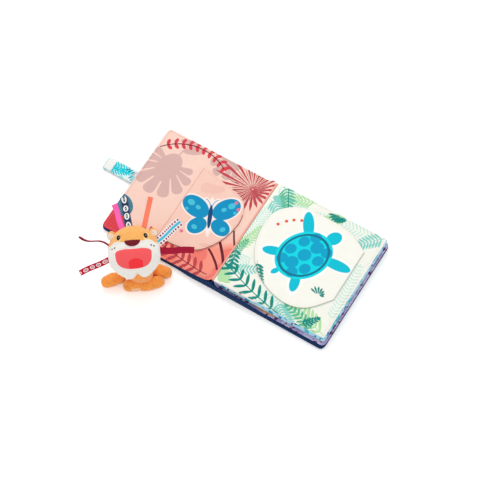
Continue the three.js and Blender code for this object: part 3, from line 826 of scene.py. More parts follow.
def thick_rings(x, y, top, low, middle=None):
    """Points and faces of rings above and below, joined at the rim

    They close in a point over a middle if one is given, and otherwise in one small face.
    """
    index = closed(numbered(x.shape))
    under = index + x.size
    points = [rows(x, y, top), rows(x, y, low)]
    faces = [quads(index), quads(under)[:, ::-1], quads(np.stack([index[-1], under[-1]]))]
    if middle is None:
        return np.concatenate(points), [*faces, index[:1, :-1], under[:1, -2::-1]]
    points.append([[*middle, top[0].mean()], [*middle, low[0].mean()]])
    caps = [cap(index[0], 2 * x.size), cap(under[0][::-1], 2 * x.size + 1)]
    return np.concatenate(points), [*faces, *caps]


def ellipse(centre, half, count, closed_line=False):
    """Points round a centre: half a width times the cosine, half a depth times the sine"""
    angle = np.linspace(0, 2 * np.pi, count, endpoint=closed_line)
    return centre + half * heading(angle)


print("an ellipse's outline starts at", ellipse(np.zeros(2), np.array([3, 2]), 8)[0])

# %% Right lining and its patch
LILAC, PLUM, BROWN = (190, 174, 220), (120, 62, 122), (128, 84, 92)
TAN, CREAM = (226, 158, 84), (250, 249, 238)
PATCH_CENTRE, PATCH_HALF = np.array([86.0, -38.4]), np.array([68.0, 52.0])
PATCH_TOP, PATCH_BINDING, PATCH_STITCH = 9.5, 4.0, 3.0

back_page, p, upper = make_lining("back", 1, RIGHT_CLIMB, "lilac_print")
motifs = [
    ((214, 202, 236), speckle(p, 24, 31, 0.25)),
    (PLUM, speckle(p, 13, 32, 0.62)),
    (BROWN, speckle(p, 9, 33, 0.75)),
    ((92, 150, 196), frond(p, (60, -60), 30, 90, 50, 18, 5, 9)),
]
lilac_print = print_on(back_page, "lilac", upper, LILAC, motifs)
give(back_page, lilac_print, cloth("back_lining_back", (228, 222, 238)))

x, y, inside, _ = ring_plan(
    ellipse(PATCH_CENTRE, PATCH_HALF, 240), 0.04, 0.9, 30, (0.08, 0.06, 0.045, 0.03, 0.015, 0.005)
)
height = (PATCH_TOP - LINING_TOP) * rise(inside, 1.2) - stitch_dip(inside, PATCH_BINDING, 0.5, 0.7)
height -= 0.35 * smooth_step((inside - PATCH_BINDING - 0.6) / 0.8)
top = LINING_TOP + np.maximum(height, 0) + 0.05 * waves(x, y, 20, 6)
rear_patch = make_piece("rear_patch", *thick_rings(x, y, top, LINING_TOP - 0.4), "cream_print", "back_cover",
                        ["rear_patch_edge", "rear_patch_cloth"])
paint(rear_patch, "from_rim", np.tile(inside, (2, 1)) - PATCH_BINDING)
give(rear_patch, cloth("patch_print", CREAM, [("from_rim", TAN, 0.4)]))
stitch_line = ellipse(PATCH_CENTRE, PATCH_HALF - PATCH_STITCH, 241, True)
stitch_row("rear_patch_stitches", [rows(*stitch_line.T, PATCH_TOP - 0.05)],
           thread_material("tan_thread", (206, 134, 62)), "tan_binding", "back_cover", radius=0.2)
print("rear patch made")

# %% [markdown]
# ## Leaves
#
# Two leaves turn on the seam. Each is two printed cloths round crackling film and a little
# padding: thick at its free edges and thin where it runs down into the gutter, so that the page
# dips there. The sides show the pale blue backing with its blue pattern. Two cloths over a filling
# could be built one by one, but a single closed panel looks the same and no layer shows through.

# %% Leaf panels
LEAF_EDGE, LEAF_HALF_DEPTH, LEAF_START = 179.8, 89.8, 1.8
LEAF_B_BOTTOM, LEAF_THICKNESS, LAYER_GAP, SEWN_THICKNESS = 9.8, 7.0, 0.3, 0.5
LEAF_A_BOTTOM = LEAF_B_BOTTOM + LEAF_THICKNESS + LAYER_GAP
LEAF_A_TOP = LEAF_A_BOTTOM + LEAF_THICKNESS
LEAF_STITCH, LEAF_ROLL = 3.6, 2.6


def stack_sway(x, y):
    """Slight unevenness that all layers of the right-hand stack share"""
    return 0.22 * waves(x, y, 85, 17) * smooth_step((x - 20) / 30)


def layers_of(name):
    """The solids of a leaf or a flap: two cloths and the film between them"""
    return [f"{name}_{layer}" for layer in ("front_cloth", "crinkle_film", "back_cloth")]


def make_leaf(name, bottom_level, sewn_level, slot):
    """Padded leaf between two levels, which close up to a sewn edge at the gutter"""
    x, y, from_x, from_y, outer, rim_distance = panel_plan(
        LEAF_START, LEAF_EDGE, -LEAF_HALF_DEPTH, LEAF_HALF_DEPTH, (1.0, 2.2), 1.0
    )
    full = rise(from_x, np.where(outer, LEAF_ROLL, 0.5)) * rise(from_y, LEAF_ROLL)
    climb = smooth_step((x - LEAF_START) / 17)
    sway = stack_sway(x, y)
    highest = between(sewn_level + SEWN_THICKNESS, bottom_level + LEAF_THICKNESS, climb) + sway
    lowest = between(sewn_level, bottom_level, climb) + sway
    dent = sewn_dent(rim_distance, x + y, LEAF_STITCH, 0.7, 0.55, 9) * climb
    middle = (highest + lowest) / 2
    top, bottom = between(middle, highest - dent, full), between(middle, lowest + 0.7 * dent, full)
    piece, upper, lower = make_panel(
        name, x, y, top, bottom, slot, body=name, nodes=layers_of(name), fill=LEAF_FILL
    )
    return piece, rows(x, y), upper, lower


print("leaf A lies between", LEAF_A_BOTTOM, "and", LEAF_A_TOP, "mm over the table")

# %% Leaf prints
GREEN, MID_GREEN, PALE_GREEN, SAGE = (8, 142, 130), (92, 190, 150), (182, 230, 172), (136, 212, 200)
MINT, PALE_BLUE, BLUE = (208, 240, 228), (178, 224, 240), (30, 140, 200)
DEEP_BLUE, TURQUOISE = (24, 72, 128), (24, 190, 204)


def backing_motifs(p, seed):
    """Blotches and fronds in three blues, for the pale blue sides"""
    return [
        (TURQUOISE, any_of(speckle(p, 20, seed, 0.5), frond(p, (40, -70), 50, 120, -40, 20, 6, 10))),
        (BLUE, any_of(speckle(p, 13, seed + 1, 0.55), frond(p, (150, 70), 220, 110, 40, 16, 5, 10))),
        (DEEP_BLUE, speckle(p, 9, seed + 2, 0.85)),
    ]


def page_motifs(p):
    """Fronds round the margin of the cream page, in greens of several depths, and its blue side"""
    from_edge = np.minimum(LEAF_EDGE - p[:, 0], LEAF_HALF_DEPTH - np.abs(p[:, 1]))
    near_gutter = 9 * (p[:, 0] < 60)
    return [
        (MINT, fronds(
            p, ((4, -8), 84, 66, -6, 15, 2.4, 13, 52, 0.7), ((32, -32), 232, 52, 10, 17, 2.6, 10, 52, 0.7),
            ((164, 82), 184, 88, 6, 13, 2.4, 15, 56, 0.7), ((60, -84), 12, 62, -8, 16, 2.6, 11, 55, 0.7),
            ((172, -62), 91, 92, 4, 10, 2.2, 16, 56, 0.6, 1.6), ((3, 84), 350, 56, -12, 16, 2.6, 11, 55, 0.7),
        )),
        (PALE_GREEN, any_of(
            fronds(
                p, ((178, -86), 165, 76, -18, 23, 4.4, 8, 44, 1.2), ((66, 88), 196, 46, 16, 14, 3.0, 8, 50),
                ((116, 90), 218, 34, -10, 12, 2.8, 7, 50), ((4, -30), 66, 44, 14, 13, 3.0, 8, 50),
            ),
            fan(p, (7, -88), 20, 110, 8, 2, 34, 4.4),
        )),
        (SAGE, any_of(
            fronds(
                p, ((176, 88), 222, 48, 12, 14, 3.0, 9, 56, 0.9), ((5, 62), 326, 44, 14, 15, 3.0, 8, 50, 0.9),
                ((96, -74), 318, 42, 24, 15, 3.0, 9, 56, 0.9), ((18, -62), 26, 40, 12, 11, 2.4, 8, 56, 0.7),
            ),
            blades(p, [(6, 66), (6, 68)], [(48, 58), (42, 76)], [8, 6]),
        )),
        (MID_GREEN, fronds(
            p, ((12, 88), 322, 44, -40, 14, 3.0, 8, 58), ((162, -88), 156, 52, 14, 13, 3.4, 7, 50),
            ((4, -50), 86, 36, -12, 11, 2.4, 8, 54),
        )),
        (GREEN, any_of(
            fronds(
                p, ((3, -26), 284, 34, 10, 12, 3.4, 4, 48, 1.2, 1.5),
                ((106, -89), 170, 98, -14, 20, 4.6, 7, 52, 1.5, 1.5), ((140, -88), 40, 26, 20, 9, 2.8, 5, 50),
            ),
            fan(p, (106, 88), 200, 340, 9, 2, 22, 3.6),
            stalk(p, (20, 88), 296, 46, 10, 1.4),
        )),
        ((246, 240, 236), from_edge - 0.75),
        ((238, 150, 130), all_of(from_edge - 0.6, speckle(p, 12, 47, 0.8))),
        (PALE_BLUE, all_of(from_edge - 0.75, 70 - p[:, 0])),
        (TURQUOISE, all_of(from_edge - 0.7, speckle(p, 15, 44, 0.35)) + near_gutter),
        (DEEP_BLUE, all_of(from_edge - 0.6, speckle(p, 8, 45, 0.8)) + near_gutter),
    ]


leaf_a, p, upper, lower = make_leaf("leaf_a", LEAF_A_BOTTOM, 18.8, "cream_print")
give(leaf_a, print_on(leaf_a, "cream", upper, CREAM, page_motifs(p), crease=0.45),
     print_on(leaf_a, "backing", lower, PALE_BLUE, backing_motifs(p, 41)))
leaf_b, p, upper, lower = make_leaf("leaf_b", LEAF_B_BOTTOM, 18.1, "pale_blue_print")
give(leaf_b, print_on(leaf_b, "facing", upper, PALE_BLUE, backing_motifs(p, 51)),
     print_on(leaf_b, "backing", lower, PALE_BLUE, backing_motifs(p, 61)))
print("leaves:", len(leaf_a.data.polygons), "faces each")

# %% [markdown]
# ## Lift-up flaps
#
# Each flap is a soft, flat bag with film inside, sewn to its page along one straight side. Its
# outline is a smooth curve through a few points. The surface is worked out in rings, from the
# middle of the flap to its rim, and closes at the rim's seam. An outline drawn out to a thickness
# has the same shape from afar, but only rings let the cloth sink along its stitches.

# %% Flap outlines
PAGE_SIDE = 180.0
FLAP_THICKNESS, FLAP_STITCH, FLAP_ROLL, FLAP_REACH = 2.1, 2.8, 1.8, 60
LEFT_FLAP_SHARES = [(0.58, 0.155), (0.37, 0.195), (0.18, 0.245), (0.1, 0.37), (0.092, 0.5), (0.14, 0.67),
                    (0.25, 0.815), (0.42, 0.868), (0.58, 0.87)]
RIGHT_FLAP_SHARES = [(0.9, 0.2), (0.74, 0.11), (0.54, 0.09), (0.3, 0.105), (0.14, 0.22), (0.1, 0.4),
                     (0.16, 0.63), (0.32, 0.81), (0.56, 0.895), (0.75, 0.85), (0.9, 0.68)]


def flap_outline(shares, side):
    """Even curve through points, each stretch a cubic with its neighbours' slopes, and a straight side"""
    table = np.array(shares)
    knots = rows(side * table[:, 0] * PAGE_SIDE, PAGE_SIDE / 2 - table[:, 1] * PAGE_SIDE)
    before, after = np.vstack([knots[:1], knots[:-2]]), np.vstack([knots[2:], knots[-1:]])
    t = np.linspace(0, 1, 24, endpoint=False)[None, :, None]
    p0, p1, p2, p3 = (a[:, None] for a in (before, knots[:-1], knots[1:], after))
    v0, v1 = (p2 - p0) / 2, (p3 - p1) / 2
    spans = (2 * p1 - 2 * p2 + v0 + v1) * t ** 3 + (3 * p2 - 3 * p1 - 2 * v0 - v1) * t ** 2 + v0 * t + p1
    even = resample(np.concatenate([spans.reshape(-1, 2), knots[-1:], knots[:1]]), count=360)
    return even if side < 0 else even[::-1]


def left_rest(x, y):
    """Height of the coral page, which the left flap lies on"""
    return page_height(x, LEFT_CLIMB)


def right_rest(x, y):
    """Height of leaf A, which the right flap lies on"""
    return LEAF_A_TOP + stack_sway(x, y)


# For each flap: its side of the spine, its hinge, its outline, the body of the page it is sewn to,
# the height of the page below it at each point, and that height where the page is level
FLAPS = {
    "left": (-1, -104.4, flap_outline(LEFT_FLAP_SHARES, -1), "front_cover", left_rest, LINING_TOP),
    "right": (1, 162.0, flap_outline(RIGHT_FLAP_SHARES, 1), "leaf_a", right_rest, LEAF_A_TOP),
}

print("flap outlines:", len(FLAPS["left"][2]), "points each")

# %% Flap bags
def make_bag(name, outline, rest, slot, nodes):
    """Flat bag inside an outline: rings of points from its middle to its rim, above and below"""
    x, y, _, middle = ring_plan(outline, 0.012, 0.93, 72, (0.055, 0.04, 0.027, 0.016, 0.008, 0.003))
    distance = line_distance(rows(x, y), np.vstack([outline, outline[:1]])).reshape(x.shape)
    distance[-1] = 0
    full = rise(distance, FLAP_ROLL)
    run = np.arctan2(y - middle[1], x - middle[0]) * FLAP_REACH
    dent = sewn_dent(distance, run, FLAP_STITCH, 0.25, 0.3, 13, 8, 0.8)
    half = FLAP_THICKNESS / 2
    level = rest(x, y) + LAYER_GAP + half
    top, bottom = level + (half - dent) * full, level - half * full
    index = numbered(x.shape)
    upper, lower = closed(index), closed(np.vstack([numbered(x[:-1].shape, x.size), index[-1:]]))
    poles = lower.max() + np.array([1, 2])
    points = np.concatenate([
        rows(x, y, top), rows(x[:-1], y[:-1], bottom[:-1]),
        [[*middle, top[0].mean()], [*middle, bottom[0].mean()]],
    ])
    faces = [quads(upper), cap(upper[0], poles[0]), quads(lower)[:, ::-1], cap(lower[0][::-1], poles[1])]
    piece = make_piece(name, points, faces, slot, nodes=nodes, fill=FLAP_FILL)
    paint_under(piece, len(faces[0]) + len(faces[1]))
    return piece, np.vstack([rows(x, y), middle]), np.append(index, poles[0]), np.append(distance, FAR)


def make_flap(word, slot, print_name, base, picture, lining):
    """Bag with its print on top and its lining below"""
    side, hinge, outline, page, rest, level = FLAPS[word]
    piece, p, index, rim = make_bag(f"{word}_flap_bag", outline, rest, slot, layers_of(f"{word}_flap"))
    give(piece, print_on(piece, print_name, index, base, picture(p, rim), crease=0.45), lining)
    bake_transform(piece)
    print(word, "flap:", len(piece.data.polygons), "faces")


print("a flap is", FLAP_THICKNESS, "mm thick and lies", LAYER_GAP, "mm over its page")

# %% [markdown]
# ## The left flap
#
# It is pale pink and carries a large blue picture: a plain butterfly with spotted wings. Both
# halves of the butterfly are alike, so its wings are worked out once, on a folded sheet.

# %% Left flap
def butterfly(p, centre, size, angle):
    """Two pairs of wings and a body, with the lighter spots on the wings"""
    local = turned(p, centre, angle) / size
    folded = rows(np.abs(local[:, 0]), local[:, 1])
    wings = any_of(oval(folded, (0.5, 0.32), 0.5, 0.34, 38), oval(folded, (0.38, -0.36), 0.34, 0.27, -40))
    body = oval(local, (0, 0), 0.07, 0.42)
    feelers = stalk(folded, (0.02, 0.36), 78, 0.34, -50, 0.025, 8)
    spots = any_of(*(oval(folded, place, reach, reach * 0.8, 38) for place, reach in (
        ((0.66, 0.46), 0.13), ((0.42, 0.3), 0.09), ((0.46, -0.42), 0.1), ((0.78, 0.22), 0.06))))
    return size * any_of(wings, body, feelers), size * spots, size * body


def left_picture(p, rim):
    """Motifs of the left flap: a butterfly, leaves and dots, a thin line round the rim, and a dark line on
    its near rim that is partly its piped edge and partly painted shadow
    """
    whole, spots, body = butterfly(p, (-57, -2), 44, 24)
    hinge = FLAPS["left"][1]
    return [
        ((244, 196, 182), any_of(
            frond(p, (-98, 34), 0, 34, 40, 12, 4, 6), blades(p, [(-30, -40)], [(-48, -48)], 6),
        )),
        ((255, 240, 232), whole - 2.2),
        ((0, 146, 196), whole),
        ((70, 196, 222), spots),
        ((18, 70, 116), body),
        ((232, 120, 140), ovals(p, 2.6, 2.6, ((-88, -34), (-80, -42), (-36, 36), (-28, 28)))),
        # Dark edge and painted shadow: a maroon line along the near rim, away from the hinge, where the flap
        # stands off the page.
        (MAROON, all_of(rim - 1.1, p[:, 1] - 24, hinge + 3 - p[:, 0])),
        ((232, 170, 158), rim - 0.35),
    ]


make_flap("left", "pink_print", "pink", (250, 208, 192), left_picture, cloth("flap_back", (247, 240, 226)))

# %% [markdown]
# ## The right flap
#
# It is cream like its page and carries a large turquoise picture: a plain turtle seen from above,
# with its shell laid out in plates, and a few leaves beside it. Flippers and outer plates come in
# pairs, so they too are worked out once, on a sheet that is folded along the turtle's back.

# %% Right flap
def turtle(p, centre, size, angle):
    """Oval shell with a ring of plates, a head, four flippers and a tail"""
    local = turned(p, centre, angle) / size
    folded = rows(local[:, 0], np.abs(local[:, 1]))
    shell = oval(local, (0, 0), 0.86, 0.7)
    limbs = any_of(
        oval(local, (1.0, 0), 0.24, 0.19),
        oval(folded, (0.62, 0.74), 0.42, 0.16, 58),
        oval(folded, (-0.66, 0.58), 0.3, 0.14, 138),
        blades(local, [(-0.8, 0)], [(-1.08, 0.02)], 0.16),
    )
    plates = any_of(ovals(local, 0.2, 0.18, ((0.02, 0), (0.44, 0), (-0.4, 0))),
                    ovals(folded, 0.17, 0.15, ((0.24, 0.36), (-0.2, 0.37), (0.58, 0.28), (-0.56, 0.26))))
    belt = np.maximum(np.abs(shell + 0.1) - 0.02, 0) - 0.012
    return size * shell, size * limbs, size * plates, size * belt


def right_picture(p, rim):
    """Motifs of the right flap: a turtle, leaves and dots, a thin line round the rim, and a painted shadow
    line along the rim towards the spine and the near edge
    """
    shell, limbs, plates, belt = turtle(p, (92, 6), 50, 62)
    return [
        ((255, 255, 252), any_of(shell, limbs) - 3.0),
        ((0, 196, 218), limbs),
        ((0, 220, 232), shell),
        ((0, 166, 206), plates),
        ((12, 120, 150), belt),
        (GREEN, any_of(frond(p, (40, -34), 300, 34, 20, 11, 4, 5), fan(p, (140, -38), 20, 160, 7, 2, 16, 3))),
        ((234, 96, 72), ovals(p, 2.4, 2.4, ((36, 30), (44, 40), (52, 47), (62, 52)))),
        # Painted shadow: a dark teal line along the rim towards the spine and the near edge, where the flap
        # stands off the page.
        ((40, 92, 96), all_of(rim - 0.45, p[:, 0] + p[:, 1] - 36)),
        ((206, 200, 182), rim - 0.55),
    ]


make_flap("right", "cream_print", "flap", (252, 251, 241), right_picture, cloth("flap_lining", PALE_BLUE))

# %% [markdown]
# ## Closing tab
#
# The tab is a strap sewn under the front cover's edge. It bends up at the cover and again near its
# end, so it is two pieces, which meet at the second bend. The upper side is printed
# turquoise, the under side is navy, and the tip carries hook tape.

# %% Tab straps
TAB_HALF_WIDTH, TAB_BOTTOM, TAB_TOP, TAB_STITCH = 10.5, 2.1, 4.5, 2.0
TAB_HINGE, TAB_TIP_HINGE, TAB_END = 183.6, 218.1, 233.1
TAB_JOIN, TAB_BEND = TAB_TIP_HINGE - 0.2, (1.0, 2.5)
WELL_INSIDE = 9.0  # distance that stands in for the rim's at ends where the cloth goes on
tab_back = cloth("tab_back", (20, 58, 98))


def make_tab(name, start, end, radius, body, seed):
    """Flat strap between two levels, dented along its stitches"""
    x, y, from_x, from_y, outer, _ = panel_plan(-end, -start, -TAB_HALF_WIDTH, TAB_HALF_WIDTH, radius, 0.8)
    rim_distance = np.minimum(np.where(outer & (radius > 1), from_x, WELL_INSIDE), from_y)
    full = rise(from_y, 0.9) * rise(from_x, 0.5)
    middle = (TAB_TOP + TAB_BOTTOM) / 2
    dent = sewn_dent(rim_distance, x + y, TAB_STITCH, 0.25, 0.15, 3, 6, 0.6)
    top, bottom = between(middle, TAB_TOP - dent, full), between(middle, TAB_BOTTOM, full)
    piece, upper, _ = make_panel(
        name, x, y, top, bottom, "turquoise_print", nodes=[body + "_backing", body + "_print"]
    )
    p = rows(x, y)
    motifs = [
        ((150, 232, 236), speckle(p, 14, seed, 0.1)),
        ((0, 206, 220), fronds(p, ((-190, 5), 188, 40, -10, 9, 2.4, 8, 52, 0.8, 1.6),
                               ((-222, -7), 14, 26, 10, 8, 2.2, 6, 52, 0.8, 1.6))),
        ((0, 110, 140), blades(p, [(-188, 8), (-192, 9), (-196, 9), (-187, 0)],
                               [(-192, 1), (-197, 2), (-202, 3), (-192, -6)], 1.5)),
        ((236, 110, 140), blades(p, [(-185, -3), (-186, 4), (-184, 8)],
                                 [(-188, -8), (-190, -1), (-188, 4)], 1.3)),
    ]
    give(piece, print_on(piece, "tab", upper, (226, 246, 244), motifs), tab_back)
    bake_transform(piece)


make_tab("tab_strap", TAB_HINGE - 3.2, TAB_JOIN, 0.8, "tab_root", 71)
make_tab("tab_tip_strap", TAB_JOIN, TAB_END, 3.0, "tab_tip", 72)
print("tab ends", TAB_END, "mm left of the seam")

# %% Hook tape and loop patch
HOOK_TAPE, LOOP_TAPE = (-231.9, -219.3, -9.3, 9.3), (154.0, 176.0, -13.0, 13.0)


def make_tape(name, limits, levels, pitch, tint, body, node, down=False):
    """Patch of hook or loop tape: a thin panel whose face is a field of small bumps"""
    x, y, from_x, from_y, *_ = panel_plan(*limits, 2.0, 0.35)
    full = rise(from_x, 0.4) * rise(from_y, 0.4)
    grip = 0.22 * (0.5 + 0.5 * np.cos(2 * np.pi * x / pitch) * np.cos(2 * np.pi * y / pitch)) * full
    low, high = levels
    middle = (low + high) / 2
    top = between(middle, high - (not down) * grip, full)
    bottom = between(middle, low + down * grip, full)
    tape = cloth(name + "_tape", tint, thread=0.4, thread_depth=0.12, roughness=0.6)
    make_panel(name, x, y, top, bottom, name, body=body, nodes=[node], materials=[tape, tape])


make_tape("hook_tape", HOOK_TAPE, (4.4, 5.7), 1.4, (255, 254, 250), "tab_tip", "tab_hook_patch")
tab_thread = thread_material("tab_thread", (250, 252, 250))
tab_stitches = dict(length=2.0, pitch=2.8, radius=0.2)
run = np.linspace(TAB_HINGE + 4, TAB_TIP_HINGE - 2, 30)
tab_lines = [rows(-run, side * (TAB_HALF_WIDTH - TAB_STITCH), TAB_TOP - 0.12) for side in (-1, 1)]
stitch_row("tab_stitches", tab_lines, tab_thread, "turquoise_print", "tab_root", **tab_stitches)
hook_line = rim_path(*HOOK_TAPE, 1.2, lambda x, y: 5.5 + 0 * x)
stitch_row("hook_tape_stitches", [hook_line], tab_thread, "hook_tape", "tab_tip", **tab_stitches)
make_tape("loop_tape", LOOP_TAPE, (0.02, 0.75), 1.1, (36, 64, 94), "back_cover", "loop_patch", down=True)
print("hook tape is", round(HOOK_TAPE[1] - HOOK_TAPE[0], 1), "mm long")

# %% [markdown]
# ## Topstitching
#
# Rows of stitches run round the pages, leaves and flaps, a few millimetres inside their rims. They
# could be a pattern in the material, but as small forms they catch the light like real thread.

# %% Topstitching
STITCH_LIFT = 0.16
threads = {"left": thread_material("coral_thread", (238, 178, 164)),
           "right": thread_material("pale_thread", (246, 240, 228))}


def inner_line(outline, inset, height, keep):
    """Part of an outline, moved inwards and lifted to a height"""
    ahead = np.roll(outline, -1, 0) - np.roll(outline, 1, 0)
    inward = rows(-ahead[:, 1], ahead[:, 0]) / np.hypot(*ahead.T)[:, None]
    inward *= np.sign(((outline.mean(0) - outline) * inward).sum())
    line = outline + inward * inset
    kept = keep(line)
    start = int(np.argmax(kept & ~np.roll(kept, 1)))
    line = np.roll(line, -start, 0)[np.roll(kept, -start)]
    return rows(*line.T, height(*line.T))


stitch_row("front_page_stitches", [rim_path(
    -PAGE_EDGE, -12.0, PAGE_NEAR, PAGE_FAR, PAGE_STITCH,
    lambda x, y: left_rest(x, y) - 0.5 + STITCH_LIFT, "right",
)], threads["left"], "coral_print", "front_cover")
stitch_row("leaf_a_stitches", [rim_path(
    26.0, LEAF_EDGE, -LEAF_HALF_DEPTH, LEAF_HALF_DEPTH, LEAF_STITCH,
    lambda x, y: right_rest(x, y) - 0.8 + STITCH_LIFT, "left",
)], threads["right"], "cream_print", "leaf_a")
for word, slot in (("left", "pink_print"), ("right", "cream_print")):
    side, hinge, outline, page, rest, _ = FLAPS[word]
    stitch_row(f"{word}_flap_stitches", [inner_line(
        outline, FLAP_STITCH, lambda x, y: rest(x, y) + LAYER_GAP + FLAP_THICKNESS - 0.35 + STITCH_LIFT,
        lambda line: side * line[:, 0] < side * hinge - 7,
    )], threads[word], slot, f"{word}_flap", pitch=3.2, radius=0.2, length=2.1)
for word, (side, hinge, outline, page, rest, _) in FLAPS.items():
    on_hinge = outline[np.abs(outline[:, 0] - hinge) < 0.2, 1]
    y = np.linspace(on_hinge.min(), on_hinge.max(), 60)
    x = hinge + side * 1.2 + 0 * y
    stitch_row(f"{word}_flap_seam", [rows(x, y, rest(x, y) + 0.15)], threads[word], "cream_print", page,
               pitch=3.0, radius=0.3)
print("stitch rows made")

# %% [markdown]
# ## Plush head
#
# The lion is stuffed plush. A stuffed form is full and smooth, but never a perfect ball: it
# dimples along its seams and where the face is sewn on. Each form is an ellipsoid whose radius is
# changed a little by formula. The face has its own frame, with X to its right, Y up it and Z out.

# %% Face frame
HEAD_TURN, HEAD_TILT, HEAD_ROLL = np.radians([32, 50, 4])
HEAD_HALF, MUZZLE_HALF = np.array([36.0, 37.0, 26.0]), np.array([36.0, 31.08, 23.92])
MUZZLE_CENTRE = np.array([0, -4.5, 5.5])


def about_z(angle):
    """The turn about Z by an angle, as a table of three by three"""
    return np.array([[np.cos(angle), -np.sin(angle), 0], [np.sin(angle), np.cos(angle), 0], [0, 0, 1]])


face_out = sight(HEAD_TURN, HEAD_TILT)
face_right = np.array([np.cos(HEAD_TURN), np.sin(HEAD_TURN), 0])
FACE = np.stack([face_right, np.cross(face_out, face_right), face_out], 1) @ about_z(HEAD_ROLL)
HEAD_CENTRE = np.mean(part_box("lion_head"), 0) / MM


def to_table(points):
    """From the face's frame to the table's"""
    return points @ FACE.T + HEAD_CENTRE


print("head centre", HEAD_CENTRE.round(1))

# %% Stuffed forms
PLUSH_FILL, NOWHERE = 0.85, 9.0
CHIN = 17  # the chin's lobes and notch start this far below the middle of the face


def stuffed(half, centre, shape, across, up, lumps, seed=1):
    """Ellipsoid points in rings from pole to pole, closed, with its radius changed by a formula"""
    turn = np.linspace(0, 2 * np.pi, across, endpoint=False)
    lift = np.linspace(-np.pi / 2, np.pi / 2, up + 2)[1:-1, None]
    direction = rows(np.cos(lift) * np.cos(turn), np.cos(lift) * np.sin(turn), np.sin(lift))
    points = np.concatenate([direction, [[0, 0, -1.0], [0, 0, 1.0]]]) * half
    change = lumps * waves(points[:, 0] + points[:, 2], points[:, 1] - points[:, 2], 19, seed)
    if shape:
        change += shape(points)
    index = closed(numbered((up, across)))
    south, north = index.max() + np.array([1, 2])
    faces = [quads(index)[:, ::-1], cap(index[0][::-1], south), cap(index[-1], north)]
    return points * (1 + change / np.linalg.norm(points, axis=1))[:, None] + centre, faces


def chin_notch(x, y):
    """The dent under the chin, in millimetres"""
    return 6.0 * bump(x - 3, 4.6) * smooth_step((-y - CHIN) / 8)


def cheek_swell(x, y):
    """How far both cheeks stand out: a bell curve across, times one up the face"""
    return 0.9 * bump(np.abs(x) - 24, 9) * bump(y + 8, 16)


def head_shape(points):
    """A faint dent along the crown's seam, and the notch under the chin"""
    x, y, _ = points.T
    return -0.45 * bump(x, 2.2) * smooth_step((y - 6) / 10) - chin_notch(x, y)


def muzzle_shape(points):
    """Full cheeks, a notch under the chin with a lobe on each side, and creases round the mouth"""
    x, y, z = points.T
    lobes = 2.0 * bump(np.abs(x - 2) - 12, 7) * smooth_step((-y - CHIN) / 8)
    crease = 0.8 * bump(np.hypot(x / 29.5, (y + 3) / 19.5) - 1, 0.035) * (z > 0)
    return cheek_swell(x, y) + lobes - chin_notch(x, y) - crease


print("the notch under the chin is", chin_notch(3, -40).round(1), "mm deep")

# %% Head and muzzle
ORANGE, PAW_ORANGE, WHITE = (254, 184, 102), (255, 163, 78), (248, 244, 238)
EYE_SPREAD, EYE_RISE, EYE_RADIUS = 18.5, 24.0, 2.7

orange_plush = plush("orange_plush", ORANGE, [
    ("eye_halo", (255, 214, 150), 0.7), ("white_cheek", WHITE, 0.6),
])
# The paws' colour varies most with their pile: random tone and painted shade between the clumps.
paw_plush = plush("paw_plush", PAW_ORANGE, [
    ("sole", (252, 220, 180), 0.5), ("sole_dots", (196, 96, 40), 0.4),
], pile=2.0, depth=1.3, tone_and_shade=0.3)

points, faces = stuffed(HEAD_HALF, (0, 0, 0), head_shape, 144, 90, 0.35)
x, y, z = points.T
head = make_piece("lion_head_plush", to_table(points), faces, "orange_plush", "lion", ["lion_head"],
                  [orange_plush], PLUSH_FILL)
round_eyes = oval(rows(np.abs(x), y), (EYE_SPREAD + 0.5, EYE_RISE - 0.4), 3.4, 4.7)
paint(head, "eye_halo", np.where(z > 0, round_eyes, NOWHERE))
cap_edge = 19.5 - 1.6 * bump(x, 7) - 9.5 * smooth_step((np.abs(x) - 22) / 14)
paint(head, "white_cheek", np.where(z > -6, y - cap_edge, NOWHERE))

points, faces = stuffed(MUZZLE_HALF, MUZZLE_CENTRE, muzzle_shape, 144, 90, 0.35)
make_piece("lion_muzzle_plush", to_table(points), faces, "white_plush", "lion", ["lion_muzzle"],
           [plush("white_plush", WHITE, tone_and_shade=0.05)], PLUSH_FILL)
print("head and muzzle:", len(head.data.polygons), "faces each")

# %% [markdown]
# ## Face
#
# Mouth and nose are felt patches on the plush. Their outline is drawn in the face's plane, and each
# point is then lifted to the surface below it, so that the patch hugs the muzzle. Eyes are small
# glossy domes of satin stitch with a painted highlight, and the whiskers are two knots on each cheek.

# %% Mouth and nose
def face_surface(x, y):
    """Height of the head or the muzzle over the face's plane, whichever is higher"""
    head = HEAD_HALF[2] * np.sqrt(np.clip(1 - (x / HEAD_HALF[0]) ** 2 - (y / HEAD_HALF[1]) ** 2, 0, 1))
    up = y - MUZZLE_CENTRE[1]
    share = (x / MUZZLE_HALF[0]) ** 2 + (up / MUZZLE_HALF[1]) ** 2
    muzzle = np.where(share < 1, MUZZLE_CENTRE[2] + MUZZLE_HALF[2] * np.sqrt(np.clip(1 - share, 0, 1)), 0)
    return np.maximum(head, muzzle + cheek_swell(x, up))


def full_curve(half_width, level, drop, lift, fullness):
    """Outline about a level line: its sine and cosine are raised to a power, so that it fills out"""
    angle = np.linspace(0, 2 * np.pi, 96, endpoint=False)
    across, up = (np.sign(part) * np.abs(part) ** fullness for part in (np.cos(angle), np.sin(angle)))
    return rows(half_width * across, level + np.where(np.sin(angle) < 0, drop, lift) * up)


def felt_patch(name, outline, thickness, roll=1.0):
    """Rings inside an outline, lifted to the surface below and thickened from the rim inwards"""
    x, y, inside, middle = ring_plan(outline, 0.03, 0.9, 26, (0.075, 0.05, 0.03, 0.015, 0.004))
    base = face_surface(x, y)
    top = base + thickness * rise(inside, roll) + 0.1 * waves(x, y, 9, 2)
    points, faces = thick_rings(x, y, top, base - 1.2, middle)
    piece = make_piece(f"lion_{name}_felt", to_table(points), faces, f"{name}_felt", "lion", [f"lion_{name}"])
    return piece, *points[:, :2].T


